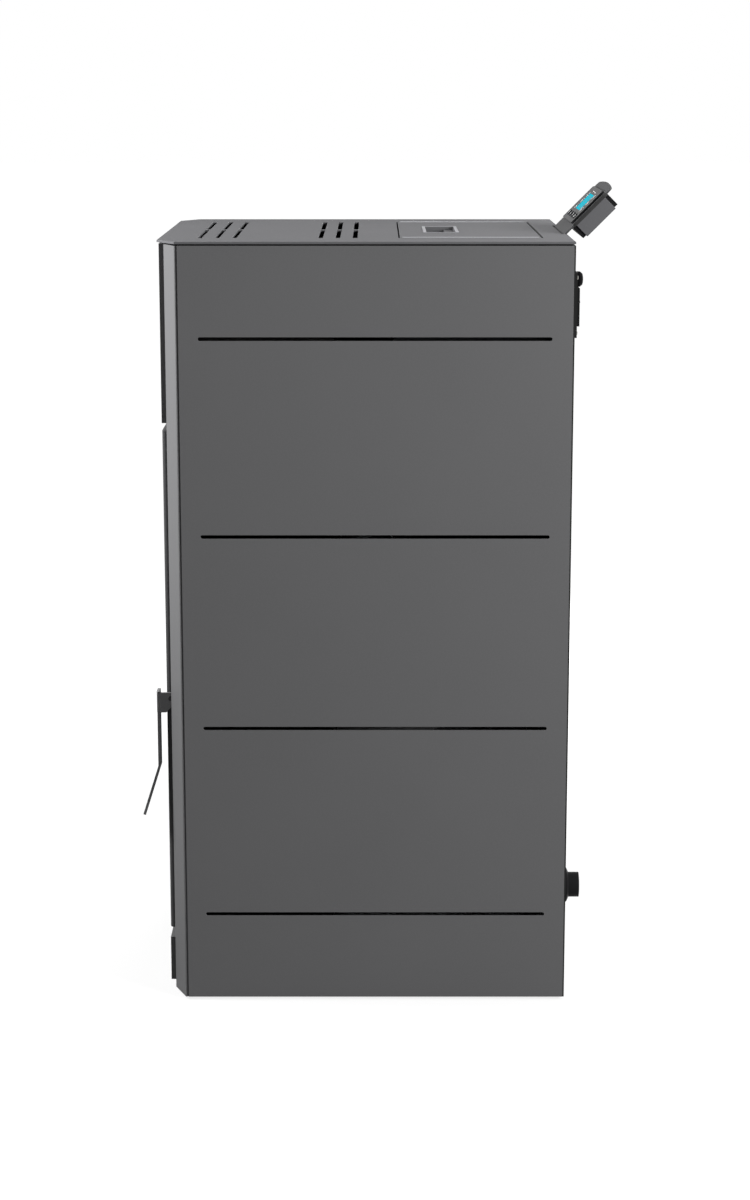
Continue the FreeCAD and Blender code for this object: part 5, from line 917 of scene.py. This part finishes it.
class STOVE_OT_stage(Operator):
    """Pale floor, soft lamps, white surroundings and the camera."""
    bl_idname = "stove.stage"
    bl_label = "Studio"

    def execute(self, context):
        stage = context.scene.stove_stage
        scene = context.scene
        scene.view_settings.view_transform = "Standard"
        mesh = bpy.data.meshes.new("floor")
        reach, drop = 30.0, -0.2 * MM
        corners = [(x * reach, y * reach, drop) for x, y in ((-1, -1), (1, -1), (1, 1), (-1, 1))]
        mesh.from_pydata(corners, [], [(0, 1, 2, 3)])
        mesh.materials.append(pale_floor("Pale studio floor", stage.floor, stage.floor_glow))
        floor = bpy.data.objects.new("floor", mesh)
        scene.collection.objects.link(floor)
        scene.world = white_surroundings("White studio", stage.ambient)
        # Each lamp's name, place, target, size in metres and power.
        lamps = (
            ("key_lamp", (1.9, 2.4, 1.8), (0.24, 0.1, 0.6), 1.0, stage.key_power),
            ("front_lamp", (0.15, -1.3, 1.26), (0.2, -0.25, 1.15), 0.5, stage.front_power),
            ("left_lamp", (-2.2, 0.6, 0.85), (-0.24, 0.0, 0.5), 1.2, stage.left_power),
            ("top_lamp", (0.0, 0.7, 1.45), (0.0, 0.15, 1.0), 0.5, stage.top_power),
        )
        for name, place, target, size, watts in lamps:
            light = bpy.data.lights.new(name, "AREA")
            light.size = size
            light.energy = watts
            lamp = bpy.data.objects.new(name, light)
            lamp.location = place
            lamp.visible_glossy = False
            way = np.array(target) - np.array(place)
            flat = math.hypot(way[0], way[1])
            lamp.rotation_euler = (math.atan2(flat, -way[2]), 0.0, math.atan2(-way[0], way[1]))
            scene.collection.objects.link(lamp)
        view = bpy.data.cameras.new("camera")
        view.lens = stage.lens
        camera = bpy.data.objects.new("camera", view)
        camera.location = (stage.camera_x, stage.camera_y, stage.camera_z)
        camera.rotation_euler = (math.radians(90) - stage.camera_pitch, 0.0, math.radians(90))
        scene.collection.objects.link(camera)
        scene.camera = camera
        return {"FINISHED"}


def seen_directly(add):
    """One for rays that show the background: from the camera, or by way of a reflection or glass."""
    path = add("LightPath", {}).outputs
    mirrored = add("Math", {0: path["Is Camera Ray"], 1: path["Is Glossy Ray"]}, operation="MAXIMUM")
    through = add("Math", {0: mirrored.outputs[0], 1: path["Is Transmission Ray"]}, operation="MAXIMUM")
    return through.outputs[0]


def pale_floor(name, tint, near):
    """A matt floor that keeps the shadow, and shows as white where the camera sees it."""
    material = bpy.data.materials.new(name)
    material.use_nodes = True
    material.node_tree.nodes.clear()
    add = partial(add_node, material.node_tree)
    matt = add("BsdfDiffuse", {"Color": shade(tint, 1.0)})
    # Near the stove the glow leaves room for the shadow, and further off it meets the white surroundings.
    glow_from, glow_to = 0.5, 2.2  # metres from the stove's middle
    place = add("TexCoord", {}).outputs["Object"]
    away = add("VectorMath", {0: place}, operation="LENGTH")
    level = add("MapRange", {"Value": away.outputs["Value"], "From Min": glow_from, "From Max": glow_to,
                             "To Min": near, "To Max": 1.0},
                interpolation_type="SMOOTHSTEP")
    strength = add("Math", {0: seen_directly(add), 1: level.outputs["Result"]}, operation="MULTIPLY")
    glow = add("Emission", {"Color": shade(WHITE, 1.0), "Strength": strength.outputs[0]})
    both = add("AddShader", {0: matt.outputs[0], 1: glow.outputs[0]})
    add("OutputMaterial", {"Surface": both.outputs[0]})
    return material


def white_surroundings(name, ambient):
    """A world that looks white and lights the stove evenly at a lower level."""
    world = bpy.data.worlds.new(name)
    world.use_nodes = True
    world.node_tree.nodes.clear()
    add = partial(add_node, world.node_tree)
    level = add("MapRange", {"Value": seen_directly(add), "To Min": ambient, "To Max": 1.0})
    sky = add("Background", {"Color": shade(WHITE, 1.0), "Strength": level.outputs["Result"]})
    add("OutputWorld", {"Surface": sky.outputs[0]})
    return world


OPERATORS = (STOVE_OT_casing, STOVE_OT_fire, STOVE_OT_machinery, STOVE_OT_fittings, STOVE_OT_rope,
             STOVE_OT_screws, STOVE_OT_display, STOVE_OT_shadow_strip, STOVE_OT_keys, STOVE_OT_rocker, STOVE_OT_cap,
             STOVE_OT_stage)
GROUPS = {"stove_finish": StoveFinish, "stove_sizes": StoveSizes, "stove_stage": StoveStage}


class STOVE_PT_panel(Panel):
    """Lists the stove's steps in the sidebar."""
    bl_idname = "STOVE_PT_panel"
    bl_label = "Pellet stove"
    bl_space_type = "VIEW_3D"
    bl_region_type = "UI"
    bl_category = "Stove"

    def draw(self, context):
        for operator in OPERATORS:
            self.layout.operator(operator.bl_idname)


def register():
    """Registers the classes and hangs the settings on the scene."""
    for item in (*GROUPS.values(), *OPERATORS, STOVE_PT_panel):
        bpy.utils.register_class(item)
    for name, group in GROUPS.items():
        setattr(bpy.types.Scene, name, PointerProperty(type=group))


def unregister():
    """Takes the settings and classes away again."""
    for name in GROUPS:
        delattr(bpy.types.Scene, name)
    for item in (STOVE_PT_panel, *OPERATORS[::-1], *GROUPS.values()):
        bpy.utils.unregister_class(item)


def main():
    register()
    for operator in OPERATORS:
        getattr(bpy.ops.stove, operator.bl_idname.removeprefix("stove."))()


if __name__ == "__main__":
    main()
